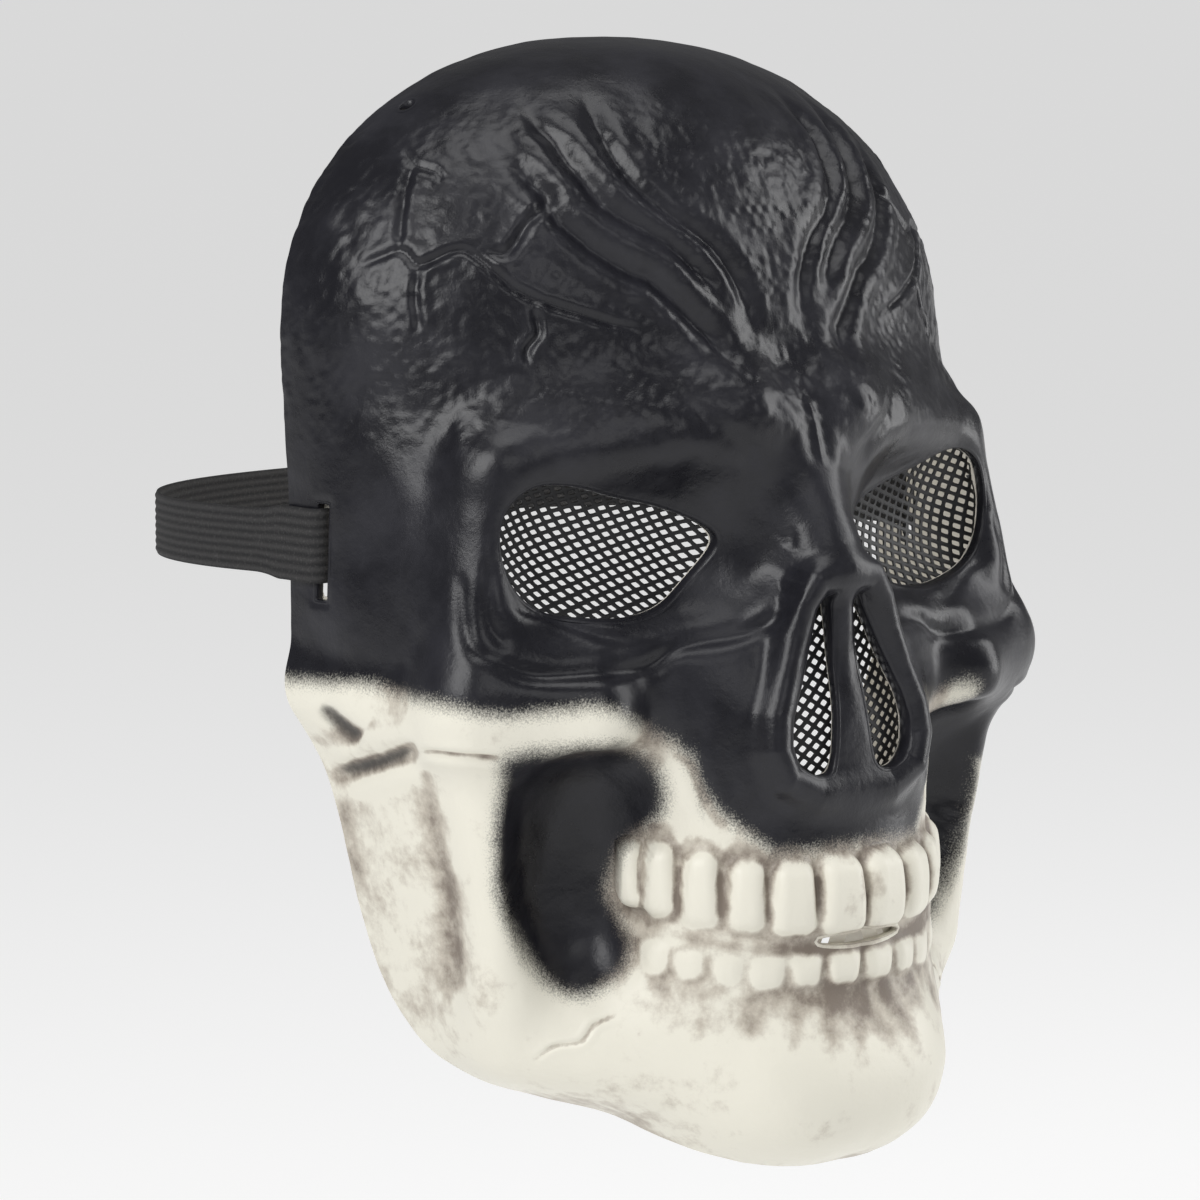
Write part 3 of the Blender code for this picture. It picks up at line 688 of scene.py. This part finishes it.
def relief(points, places):
    """Height of the fine moulding above the clay, in millimetres."""
    height = np.zeros(len(points))
    for stroke in STROKES:
        near, distance, along = around_line(places, stroke.places, stroke.width * 5)
        taper = smooth_step(0, 0.25, along) * smooth_step(0, 0.2, 1 - along)
        groove = -stroke.depth * np.exp(-(distance / stroke.width) ** 2)
        swell = stroke.swell * np.exp(-((distance - stroke.width * 2.2) / (stroke.width * 1.3)) ** 2)
        height[near] += taper * (groove + swell)
    z = points[:, 2]
    brow = smooth_step(*BROW_FROM, z) * (1 - smooth_step(*BROW_TO, z))
    leather, pebbles, waves, ripples = [lump.height * lattice_noise(points, lump.size, lump.seed)
                                        for lump in (LEATHER, PEBBLES, WAVES, RIPPLES)]
    patches = smooth_step(*LEATHER_EDGE, lattice_noise(points, LEATHER_PATCH, LEATHER_SEED))
    height += brow * (leather * patches + pebbles) + waves + ripples
    return height * smooth_step(*EDGE_ROOM, opening_room(points))


def paint(points, places):
    """Cream against black: 0.5 at the edge, about 1 well inside the cream.

    The black reaches further down on the wearer's left cheek than on the right one."""
    x, y = places.T
    edge = np.array(BLACK_EDGE, float)
    height = np.interp(x, edge[:, 0], edge[:, 1])
    far = smooth_step(*FAR_FROM, points[:, 0]) * smooth_step(0, FAR_FADE, FAR_END - x)
    height = height + FAR_DROP * far
    slope = np.interp(x + 4, edge[:, 0], edge[:, 1]) - np.interp(x - 4, edge[:, 0], edge[:, 1])
    room = (y - height) / np.sqrt(1 + (slope / 8) ** 2)
    near = beside(places, CHEEK_PAINT, PAINT_FADE / 2)
    cheek = np.full(len(x), PAINT_FADE)
    cheek[near] = outline_distance(places[near], rounded(CHEEK_PAINT, 4))
    room = np.minimum(room, cheek)
    return np.clip(0.5 + room / PAINT_FADE, 0, 1)


def shading(places, stain_and_shade_strokes, end_fade):
    """Darkness of brown stain and painted shade strokes, each strongest along its line and faded at both
    ends.
    """
    dark = np.zeros(len(places))
    for stain_and_shade in stain_and_shade_strokes:
        near, distance, along = around_line(places, stain_and_shade.places, stain_and_shade.width * 3)
        taper = smooth_step(0, 0.2, along) * smooth_step(0, end_fade, 1 - along)
        layer = stain_and_shade.strength * taper * np.exp(-(distance / stain_and_shade.width) ** 2)
        dark[near] = np.maximum(dark[near], layer)
    return dark


def hollowness(skin, reach):
    """Positive in hollows and negative on crests, from points a few steps away."""
    points, facing = skin.points, skin.facing()
    padded = np.pad(points, ((reach, reach), (reach, reach), (0, 0)), mode="edge")
    rows, columns = skin.rows + 1, skin.columns + 1
    total = np.zeros_like(points)
    for row, column in ((0, reach), (2 * reach, reach), (reach, 0), (reach, 2 * reach)):
        total += padded[row:row + rows, column:column + columns]
    return ((total / 4 - points) * facing).sum(axis=2)


# Materials


def node(tree, kind, **sockets):
    made = tree.nodes.new(kind)
    for name, value in sockets.items():
        made.inputs[name.replace("_", " ")].default_value = value
    return made


def noise_node(tree, coordinates, scale, detail=4.0, roughness=0.6):
    made = node(tree, "ShaderNodeTexNoise", Scale=scale, Detail=detail, Roughness=roughness)
    tree.links.new(coordinates, made.inputs["Vector"])
    return made.outputs["Fac"]


def arithmetic(tree, operation, first, second=0.0, third=0.0, clamp=False):
    made = tree.nodes.new("ShaderNodeMath")
    made.operation = operation
    made.use_clamp = clamp
    for socket, value in zip(made.inputs, (first, second, third)):
        if isinstance(value, (int, float)):
            socket.default_value = value
        else:
            tree.links.new(value, socket)
    return made.outputs[0]


def ramp(tree, value, low, high, from_value=0.0, to_value=1.0):
    made = tree.nodes.new("ShaderNodeMapRange")
    made.interpolation_type = "SMOOTHSTEP"
    tree.links.new(value, made.inputs["Value"])
    for name, number in (("From Min", low), ("From Max", high), ("To Min", from_value),
                         ("To Max", to_value)):
        made.inputs[name].default_value = number
    return made.outputs["Result"]


def blend_colours(tree, share, first, second):
    made = tree.nodes.new("ShaderNodeMix")
    made.data_type = "RGBA"
    if isinstance(share, (int, float)):
        made.inputs["Factor"].default_value = share
    else:
        tree.links.new(share, made.inputs["Factor"])
    for name, colour in (("A", first), ("B", second)):
        socket = next(s for s in made.inputs if s.name == name and s.type == "RGBA")
        if isinstance(colour, tuple):
            socket.default_value = (*colour, 1)
        else:
            tree.links.new(colour, socket)
    return next(s for s in made.outputs if s.type == "RGBA")


def attribute(tree, name):
    made = tree.nodes.new("ShaderNodeAttribute")
    made.attribute_name = name
    return made.outputs["Fac"]


def start_material(name):
    made = bpy.data.materials.new(name)
    made.use_nodes = True
    tree = made.node_tree
    shader = tree.nodes["Principled BSDF"]
    coordinates = tree.nodes.new("ShaderNodeTexCoord").outputs["Object"]
    return made, tree, shader, coordinates


def add_bump(tree, shader, height, strength, distance):
    made = node(tree, "ShaderNodeBump", Strength=strength, Distance=distance)
    tree.links.new(height, made.inputs["Height"])
    tree.links.new(made.outputs["Normal"], shader.inputs["Normal"])


BLACK_PAINT, BLACK_LIGHT = (0.009, 0.009, 0.012), (0.018, 0.018, 0.023)
CREAM, CREAM_DARK = (0.76, 0.735, 0.64), (0.50, 0.455, 0.385)
# Brown for stain and painted shade in hollows and gaps, and near-black for painted shade in the ear notch
STAIN_AND_SHADE_BROWN, NOTCH_SHADE_BLACK = (0.20, 0.165, 0.135), (0.045, 0.04, 0.035)
LINING_CREAM = (0.80, 0.76, 0.67)


def painted_skull():
    """Satin black over cream with brown stain and painted shade, meeting in an airbrushed edge."""
    made, tree, shader, place = start_material("painted skull")
    speckle = noise_node(tree, place, 2300, 2.0, 0.7)
    drift = noise_node(tree, place, 90, 4.0, 0.6)
    bone = attribute(tree, "bone")
    edge = arithmetic(tree, "MULTIPLY_ADD", arithmetic(tree, "SUBTRACT", speckle, 0.5), 0.26, bone)
    edge = arithmetic(tree, "MULTIPLY_ADD", arithmetic(tree, "SUBTRACT", drift, 0.5), 0.10, edge)
    cream_share = ramp(tree, edge, 0.42, 0.62)
    shade = attribute(tree, "shade")
    hollow = attribute(tree, "hollow")
    blotch = noise_node(tree, place, 45, 6.0, 0.65)
    fine = noise_node(tree, place, 260, 5.0, 0.7)
    black = blend_colours(tree, ramp(tree, blotch, 0.35, 0.7), BLACK_PAINT, BLACK_LIGHT)
    patch = arithmetic(tree, "MULTIPLY", arithmetic(tree, "SUBTRACT", blotch, 0.5), 3.2)
    # Painted shade from the hollow layer, in hollows and gaps, added to random stain blotches and flecks
    stain_and_shade = arithmetic(tree, "MULTIPLY_ADD", hollow, 0.55, patch)
    stain_and_shade = arithmetic(tree, "MULTIPLY_ADD", arithmetic(tree, "SUBTRACT", fine, 0.5), 1.4, stain_and_shade)
    cream = blend_colours(tree, ramp(tree, stain_and_shade, -0.3, 0.6), CREAM, CREAM_DARK)
    cream = blend_colours(tree, ramp(tree, stain_and_shade, 0.35, 1.3), cream, STAIN_AND_SHADE_BROWN)
    # Painted dark shade in the ear notch, with random flecks
    notch_shade = arithmetic(tree, "MULTIPLY_ADD", arithmetic(tree, "SUBTRACT", fine, 0.5), 0.5, shade)
    cream = blend_colours(tree, ramp(tree, notch_shade, 0.15, 0.9), cream, NOTCH_SHADE_BLACK)
    colour = blend_colours(tree, cream_share, black, cream)
    tree.links.new(colour, shader.inputs["Base Color"])
    shader.inputs["Specular IOR Level"].default_value = 0.34
    rough = ramp(tree, blotch, 0.3, 0.7, 0.25, 0.36)
    rough = arithmetic(tree, "MULTIPLY_ADD", cream_share, 0.12, rough)
    tree.links.new(rough, shader.inputs["Roughness"])
    grain = arithmetic(tree, "MULTIPLY_ADD", noise_node(tree, place, 600, 3.0, 0.6), 0.4, fine)
    add_bump(tree, shader, grain, 0.25, 0.0006)
    return made


def bare_lining():
    made, tree, shader, place = start_material("bare lining")
    colour = blend_colours(tree, noise_node(tree, place, 60), LINING_CREAM, (0.72, 0.68, 0.60))
    tree.links.new(colour, shader.inputs["Base Color"])
    shader.inputs["Roughness"].default_value = 0.45
    add_bump(tree, shader, noise_node(tree, place, 300), 0.15, 0.0004)
    return made


def coated_mesh():
    made, tree, shader, place = start_material("coated mesh")
    colour = blend_colours(tree, noise_node(tree, place, 400), (0.006, 0.006, 0.007), (0.02, 0.02, 0.022))
    tree.links.new(colour, shader.inputs["Base Color"])
    shader.inputs["Roughness"].default_value = 0.5
    shader.inputs["Metallic"].default_value = 0.3
    add_bump(tree, shader, noise_node(tree, place, 900), 0.2, 0.0002)
    return made


def ribbed_elastic():
    made, tree, shader, place = start_material("ribbed elastic")
    knit = noise_node(tree, place, 1400, 2.0, 0.8)
    rib = attribute(tree, "rib")
    # Painted highlight: the rib crests are lighter than the grooves between them; the knit adds random
    # lighter flecks
    share = arithmetic(tree, "MULTIPLY_ADD", rib, 0.5, ramp(tree, knit, 0.5, 0.75, 0, 0.6))
    colour = blend_colours(tree, share, (0.008, 0.008, 0.009), (0.05, 0.048, 0.048))
    tree.links.new(colour, shader.inputs["Base Color"])
    shader.inputs["Roughness"].default_value = 0.9
    add_bump(tree, shader, knit, 0.6, 0.0004)
    return made


def pale_floor():
    made, _, shader, _ = start_material("pale floor")
    shader.inputs["Base Color"].default_value = (FLOOR_GREY, FLOOR_GREY, FLOOR_GREY, 1)
    shader.inputs["Roughness"].default_value = 0.9
    shader.inputs["Emission Color"].default_value = (1, 1, 1, 1)
    shader.inputs["Emission Strength"].default_value = FLOOR_GLOW
    return made


# Pieces


def finish_piece(name, body, finish, stands_for, normals=None):
    """Object from a bmesh in millimetres, riding on the part's only body."""
    mesh = bpy.data.meshes.new(name)
    bmesh.ops.scale(body, vec=(MM, MM, MM), verts=body.verts)
    body.to_mesh(mesh)
    body.free()
    mesh.materials.append(finish)
    mesh.shade_smooth()
    if normals is not None:
        mesh.normals_split_custom_set_from_vertices(normals)
    made = bpy.data.objects.new(name, mesh)
    bpy.context.scene.collection.objects.link(made)
    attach(made, "root")
    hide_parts(stands_for)
    return made


def open_up(body, states):
    """Drop the faces inside the openings and split the ones across their corners."""
    doomed = []
    for face in list(body.faces):
        marks = [states[corner.index] for corner in face.verts]
        if min(marks) >= 0:
            continue
        if marks.count(-1) == 1 and len(marks) == 4:
            at = marks.index(-1)
            corners = list(face.verts)
            before, after = corners[at - 1], corners[(at + 1) % 4]
            lost = corners[at]
            bmesh.utils.face_split(face, before, after)
            doomed += [piece for piece in lost.link_faces
                       if before in piece.verts and after in piece.verts and len(piece.verts) == 3]
        else:
            doomed.append(face)
    bmesh.ops.delete(body, geom=list(set(doomed)), context="FACES")
    loose = [corner for corner in body.verts if not corner.link_faces]
    bmesh.ops.delete(body, geom=loose, context="VERTS")


def make_skin(name, skin, first, last, finish, values, facing, states, inward=False):
    """Piece for rows first to last of a skin."""
    body = bmesh.new()
    bmesh.ops.create_grid(body, x_segments=skin.columns, y_segments=last - first, size=1)
    body.verts.ensure_lookup_table()
    points = skin.points[first:last + 1].reshape(-1, 3)
    layers = {key: body.verts.layers.float.new(key) for key in values}
    tables = {key: table[first:last + 1].ravel() for key, table in values.items()}
    keeper = body.verts.layers.int.new("place")
    for index, corner in enumerate(body.verts):
        corner.co = points[index]
        corner[keeper] = index
        for key, layer in layers.items():
            corner[layer] = tables[key][index]
    if inward:
        bmesh.ops.reverse_faces(body, faces=body.faces)
    body.verts.index_update()
    open_up(body, states[first:last + 1].ravel())
    body.verts.index_update()
    order = [corner[keeper] for corner in body.verts]
    normals = facing[first:last + 1].reshape(-1, 3)[order] * (-1 if inward else 1)
    return finish_piece(name, body, finish, "mask_shell", normals)


def make_shell():
    finish, lining_finish = painted_skull(), bare_lining()
    skin = Skin(SKIN_COLUMNS, SKIN_ROWS, 0)
    states = fit_to_openings(skin)
    flat = skin.points.reshape(-1, 3)
    near = folded(flat)
    places = photo_places(near)
    height = relief(near, places).reshape(skin.u.shape)
    skin.points = skin.points + skin.facing() * height[:, :, None]
    # Painted shade: the cream darkens in the hollows of the moulding and along the gap strokes, with brown
    # stain
    hollow = sum(hollowness(skin, reach) / depth for reach, depth in HOLLOWS)
    hollow = np.clip(hollow, -HOLLOW_LIMIT, HOLLOW_LIMIT)
    stain_and_gap_shade = shading(places, STAINS_AND_GAP_SHADE, STAIN_AND_SHADE_FADE)
    values = {
        "bone": paint(flat, places).reshape(skin.u.shape),
        "shade": shading(places, EAR_SHADE, EAR_FADE).reshape(skin.u.shape),
        "hollow": hollow + STAIN_AND_SHADE_SHARE * stain_and_gap_shade.reshape(skin.u.shape),
    }
    facing = skin.facing()
    each = SKIN_ROWS // SKIN_PATCHES
    for patch, place in enumerate(("jaw", "cheeks", "brow")):
        make_skin("skin_" + place, skin, patch * each, (patch + 1) * each, finish, values, facing, states)
    lining = Skin(SKIN_COLUMNS // LINING_SHARE, SKIN_ROWS // LINING_SHARE, -WALL)
    lining_states = fit_to_openings(lining)
    make_skin("lining", lining, 0, lining.rows, lining_finish, {}, lining.facing(), lining_states, True)
    make_rim(skin, finish)
    make_lips(finish)


def lofted(body, rings, closed=True):
    """Skin rings of equal length, each a table of points, one to the next."""
    count = len(rings[0])
    rows = [[body.verts.new(point) for point in ring] for ring in rings]
    for row in rows:
        last = count if closed else count - 1
        for i in range(last):
            body.edges.new((row[i], row[(i + 1) % count]))
    for first, second in zip(rows, rows[1:]):
        edges = [body.edges.get((row[i], row[(i + 1) % count])) for row in (first, second)
                 for i in range(count if closed else count - 1)]
        bmesh.ops.bridge_loops(body, edges=edges)
    return rows


def make_lips(finish):
    """Rounded edge round every opening, from the painted face to the lining."""
    body = bmesh.new()
    for opening in OPENINGS:
        outline = dense(opening.outline, 0.7)
        for side in MIDDLE if opening.name == "mouth" else PAIR:
            lofted(body, [across_plane(opening.plane, grown(outline, lap), level + rise, side)
                          for level, steps in ((0, LIP_FACE), (-WALL, LIP_BACK))
                          for lap, rise in steps])
    bmesh.ops.recalc_face_normals(body, faces=body.faces)
    paint_on(body)
    return finish_piece("opening_lips", body, finish, "mask_shell")


def paint_on(body):
    """Paint masks for a small piece, worked out from its corners' places."""
    points = np.array([corner.co[:] for corner in body.verts])
    near = folded(points)
    places = photo_places(near)
    tables = {"bone": paint(points, places), "shade": shading(places, EAR_SHADE, EAR_FADE)}
    for key, table in tables.items():
        layer = body.verts.layers.float.new(key)
        for corner, value in zip(body.verts, table):
            corner[layer] = value


def dense(outline, step):
    """More points along straight stretches."""
    corners = np.array(outline, float)
    points = []
    for a, b in zip(corners, np.roll(corners, -1, axis=0)):
        count = max(1, int(np.linalg.norm(b - a) / step))
        points += [a + (b - a) * i / count for i in range(count)]
    return np.array(points)


def make_net(net, finish):
    """Expanded mesh: a slanted lattice of diamonds, each opened by an inset."""
    if net.name == "nose_net":
        edge = grown(net.outline + mirrored(net.outline)[1:-1], NOSE_NET_LAP)
    else:
        edge = grown(rounded(net.outline, 4), NET_LAP) * (net.side, 1)
    middle = (edge.max(axis=0) + edge.min(axis=0)) / 2
    first, second = np.array(net.first), np.array(net.second)
    cells = int(np.linalg.norm(edge.max(axis=0) - edge.min(axis=0)) / np.linalg.norm(second)) + 4
    body = bmesh.new()
    bmesh.ops.create_grid(body, x_segments=cells, y_segments=cells, size=cells / 2)
    lattice = Matrix(((first[0], second[0], 0, middle[0]), (first[1], second[1], 0, middle[1]),
                      (0, 0, 1, 0), (0, 0, 0, 1)))
    bmesh.ops.transform(body, matrix=lattice, verts=body.verts)
    centres = np.array([face.calc_center_median()[:2] for face in body.faces])
    outside = outline_distance(centres, edge) > 0
    doomed = [face for face, out in zip(list(body.faces), outside) if out]
    bmesh.ops.delete(body, geom=doomed, context="FACES")
    cells = list(body.faces)
    bmesh.ops.inset_individual(body, faces=cells, thickness=NET_STRAND / 2)
    bmesh.ops.delete(body, geom=cells, context="FACES_ONLY")
    bmesh.ops.subdivide_edges(body, edges=body.edges, cuts=1, use_grid_fill=True)
    hole_edges = [corner for corner in body.verts if corner.is_boundary]
    bmesh.ops.smooth_vert(body, verts=hole_edges, factor=0.35, use_axis_x=True, use_axis_y=True)
    spots = np.array([corner.co[:2] for corner in body.verts])
    for corner, point in zip(body.verts, across_plane("front", spots, -WALL - NET_DEPTH)):
        corner.co = point
    bmesh.ops.recalc_face_normals(body, faces=body.faces)
    bmesh.ops.solidify(body, geom=body.faces[:], thickness=NET_THICKNESS)
    bmesh.ops.recalc_face_normals(body, faces=body.faces)
    return finish_piece(net.name, body, finish, net.stands_for)


def make_rim(skin, finish):
    """Rounded edge along the back of the shell, from the face to the lining."""
    rows, columns = skin.rows, skin.columns
    border = [(0, i) for i in range(columns)]
    border += [(i, columns) for i in range(rows)]
    border += [(rows, columns - i) for i in range(columns)]
    border += [(rows - i, 0) for i in range(rows)]
    places = tuple(np.array(border).T)
    outer = skin.points[places]
    origins, directions = grid_rays(skin.u[places], skin.v[places])
    inner = settle_points(origins, directions, -WALL, SKIN_START)
    back = np.cross(np.roll(outer, -1, axis=0) - np.roll(outer, 1, axis=0), outer - inner)
    back /= np.maximum(np.linalg.norm(back, axis=1, keepdims=True), 1e-9)
    if back[0, 1] < 0 and back[len(back) // 2, 1] < 0:
        back = -back
    rings = []
    for share in (0, 0.12, 0.35, 0.65, 0.88, 1):
        swell = RIM_SWELL * math.sqrt(max(0, 1 - (2 * share - 1) ** 2))
        rings.append(outer + (inner - outer) * share + back * swell)
    body = bmesh.new()
    lofted(body, rings)
    bmesh.ops.recalc_face_normals(body, faces=body.faces)
    paint_on(body)
    return finish_piece("back_rim", body, finish, "mask_shell")


# Strap


def strap_route():
    """Middle of the strap in plan: end inside the rim, out through the slot, round the back."""
    y, z = np.meshgrid((SLOT_Y, 0, 4, BACK_RIM_Y + 1), np.linspace(-0.5, 0.5, 5) * STRAP_END_WIDTH + STRAP_Z)
    spots = np.stack([y.ravel(), z.ravel()], axis=1)
    wall_out = across_plane("side", spots, 0)[:, 0].max() + 0.2
    wall_in = across_plane("side", spots, -WALL)[:, 0].min() - 0.2
    lift = STRAP_THICKNESS / 2 + CLEARANCE
    turn = SLOT_Y + 0.6
    side = [(wall_in - lift, BACK_RIM_Y + STRAP_LEAD), (wall_in - lift, BACK_RIM_Y), (wall_in - lift, 2.5),
            (wall_in - lift + 0.4, turn + 0.9), ((wall_in + wall_out) / 2, turn),
            (wall_out + lift - 0.4, turn + 0.9), (wall_out + lift, 2.5),
            (wall_out + lift, BACK_RIM_Y), (wall_out + lift - 0.3, BACK_RIM_Y + STRAP_LEAD)]
    start = side[-1]
    loop = []
    for i in range(1, 24):
        turn_angle = math.pi * i / 24
        c, s = math.cos(turn_angle), math.sin(turn_angle)
        x = start[0] * math.copysign(abs(c) ** (2 / STRAP_SQUARENESS), c)
        y = start[1] + STRAP_DEPTH * s ** (2 / STRAP_SQUARENESS)
        loop.append((x, y))
    return side + loop + [(-x, y) for x, y in reversed(side)]


def smooth_route(route, step):
    """Evenly spaced points on a smooth curve through the route, with each one's old index."""
    corners = np.array(route, float)
    padded = np.concatenate([2 * corners[:1] - corners[1:2], corners, 2 * corners[-1:] - corners[-2:-1]])
    fine, at = [], []
    for i in range(1, len(padded) - 2):
        a, b, c, d = padded[i - 1:i + 3]
        for k in range(12):
            t = k / 12
            fine.append(spline(a, b, c, d, t))
            at.append(i - 1 + t)
    fine.append(corners[-1])
    at.append(len(corners) - 1)
    fine, at = np.array(fine), np.array(at)
    length = np.concatenate([[0], np.cumsum(np.linalg.norm(np.diff(fine, axis=0), axis=1))])
    wanted = np.arange(0, length[-1], step)
    return (np.stack([np.interp(wanted, length, fine[:, k]) for k in (0, 1)], axis=1),
            np.interp(wanted, length, at))


def make_strap(finish):
    route, at = smooth_route(strap_route(), STRAP_STEP)
    last = at.max()
    ahead = np.gradient(route, axis=0)
    ahead /= np.linalg.norm(ahead, axis=1, keepdims=True)
    across = np.stack([ahead[:, 1], -ahead[:, 0]], axis=1)
    near_end = np.minimum(at, last - at)
    half = STRAP_WIDTH / 2 + (STRAP_END_WIDTH - STRAP_WIDTH) / 2 * (1 - smooth_step(*STRAP_FOLD, near_end))
    droop = np.maximum(0.0, (route[:, 1] - BACK_RIM_Y) / (STRAP_DEPTH + STRAP_LEAD)) * STRAP_SAG
    middle = STRAP_Z + droop
    shares = np.linspace(-1, 1, STRAP_RIBS * RIB_CELLS + 1)
    wave = np.cos(shares * math.pi * STRAP_RIBS)
    body = bmesh.new()
    bmesh.ops.create_grid(body, x_segments=len(shares) - 1, y_segments=len(route) - 1, size=1)
    rib = body.verts.layers.float.new("rib")
    body.verts.ensure_lookup_table()
    for i in range(len(route)):
        for k, share in enumerate(shares):
            corner = body.verts[i * len(shares) + k]
            corner.co = (*route[i], middle[i] + half[i] * share)
            corner[rib] = 0.5 - 0.5 * wave[k]
    core = STRAP_THICKNESS - 2 * RIB_HEIGHT
    sides = {}
    for face_side in (1, -1):
        for i in range(len(route)):
            for k, share in enumerate(shares):
                depth = (core / 2 + RIB_HEIGHT * (1 - wave[k]) / 2) * face_side
                edge = min(1.0, (1 - abs(share)) * 8)
                sides[face_side, i, k] = route[i] + across[i] * depth * (0.55 + 0.45 * edge)
    bmesh.ops.duplicate(body, geom=body.verts[:] + body.edges[:] + body.faces[:])
    body.verts.ensure_lookup_table()
    count = len(route) * len(shares)
    for face_side, start in ((1, 0), (-1, count)):
        for i in range(len(route)):
            for k in range(len(shares)):
                corner = body.verts[start + i * len(shares) + k]
                corner.co.x, corner.co.y = sides[face_side, i, k]
    loops = [edge for edge in body.edges if edge.is_boundary]
    bmesh.ops.bridge_loops(body, edges=loops)
    bmesh.ops.recalc_face_normals(body, faces=body.faces)
    return finish_piece("ribbed_strap", body, finish, "head_strap")


# Stage, in metres

FLOOR_HALF, FLOOR_Z, FLOOR_GREY, FLOOR_GLOW = 60, -0.32, 0.45, 0.62
WORLD_STRENGTH = 0.15
LIT_PLACE = (0, -0.03, 0)
Light = namedtuple("Light", "name place size watts")
LIGHTS = [
    Light("left softbox", (-1.35, -0.35, 0.95), (0.9, 1.1), 20),
    Light("front softbox", (-0.35, -1.5, 0.9), (0.8, 0.7), 3),
    Light("right softbox", (1.2, -0.6, 0.35), (0.6, 1.2), 10),
    Light("top softbox", (0.0, -0.2, 1.5), (1.0, 0.9), 8),
]


def make_floor():
    body = bmesh.new()
    bmesh.ops.create_grid(body, x_segments=1, y_segments=1, size=FLOOR_HALF)
    bmesh.ops.translate(body, vec=(0, 0, FLOOR_Z), verts=body.verts)
    mesh = bpy.data.meshes.new("floor")
    body.to_mesh(mesh)
    body.free()
    mesh.materials.append(pale_floor())
    made = bpy.data.objects.new("floor", mesh)
    bpy.context.scene.collection.objects.link(made)


def make_light(light):
    lamp = bpy.data.lights.new(light.name, "AREA")
    lamp.shape = "RECTANGLE"
    lamp.size, lamp.size_y = light.size
    lamp.energy = light.watts
    made = bpy.data.objects.new(light.name, lamp)
    made.location = light.place
    made.rotation_euler = (Vector(LIT_PLACE) - Vector(light.place)).to_track_quat("-Z", "Y").to_euler()
    bpy.context.scene.collection.objects.link(made)


def make_lights():
    for light in LIGHTS:
        make_light(light)
    world = bpy.data.worlds.new("studio")
    world.use_nodes = True
    world.node_tree.nodes["Background"].inputs["Color"].default_value = (1, 1, 1, 1)
    world.node_tree.nodes["Background"].inputs["Strength"].default_value = WORLD_STRENGTH
    bpy.context.scene.world = world
    bpy.context.scene.view_settings.view_transform = "Standard"


def make_camera():
    turn, rise = math.radians(CAMERA_TURN), math.radians(CAMERA_RISE)
    target = Vector(CAMERA_TARGET) * MM
    back = Vector((math.sin(turn) * math.cos(rise), -math.cos(turn) * math.cos(rise), math.sin(rise)))
    data = bpy.data.cameras.new("photograph")
    data.sensor_width = SENSOR
    data.lens = SENSOR * CAMERA_DISTANCE / (FRAME_PIXELS * MM_PER_PIXEL)
    made = bpy.data.objects.new("photograph", data)
    made.location = target + back * CAMERA_DISTANCE * MM
    made.rotation_euler = (-back).to_track_quat("-Z", "Y").to_euler()
    bpy.context.scene.collection.objects.link(made)
    bpy.context.scene.camera = made


def main():
    make_camera()
    make_shell()
    net_finish = coated_mesh()
    for net in NETS:
        make_net(net, net_finish)
    make_strap(ribbed_elastic())
    make_floor()
    make_lights()


main()
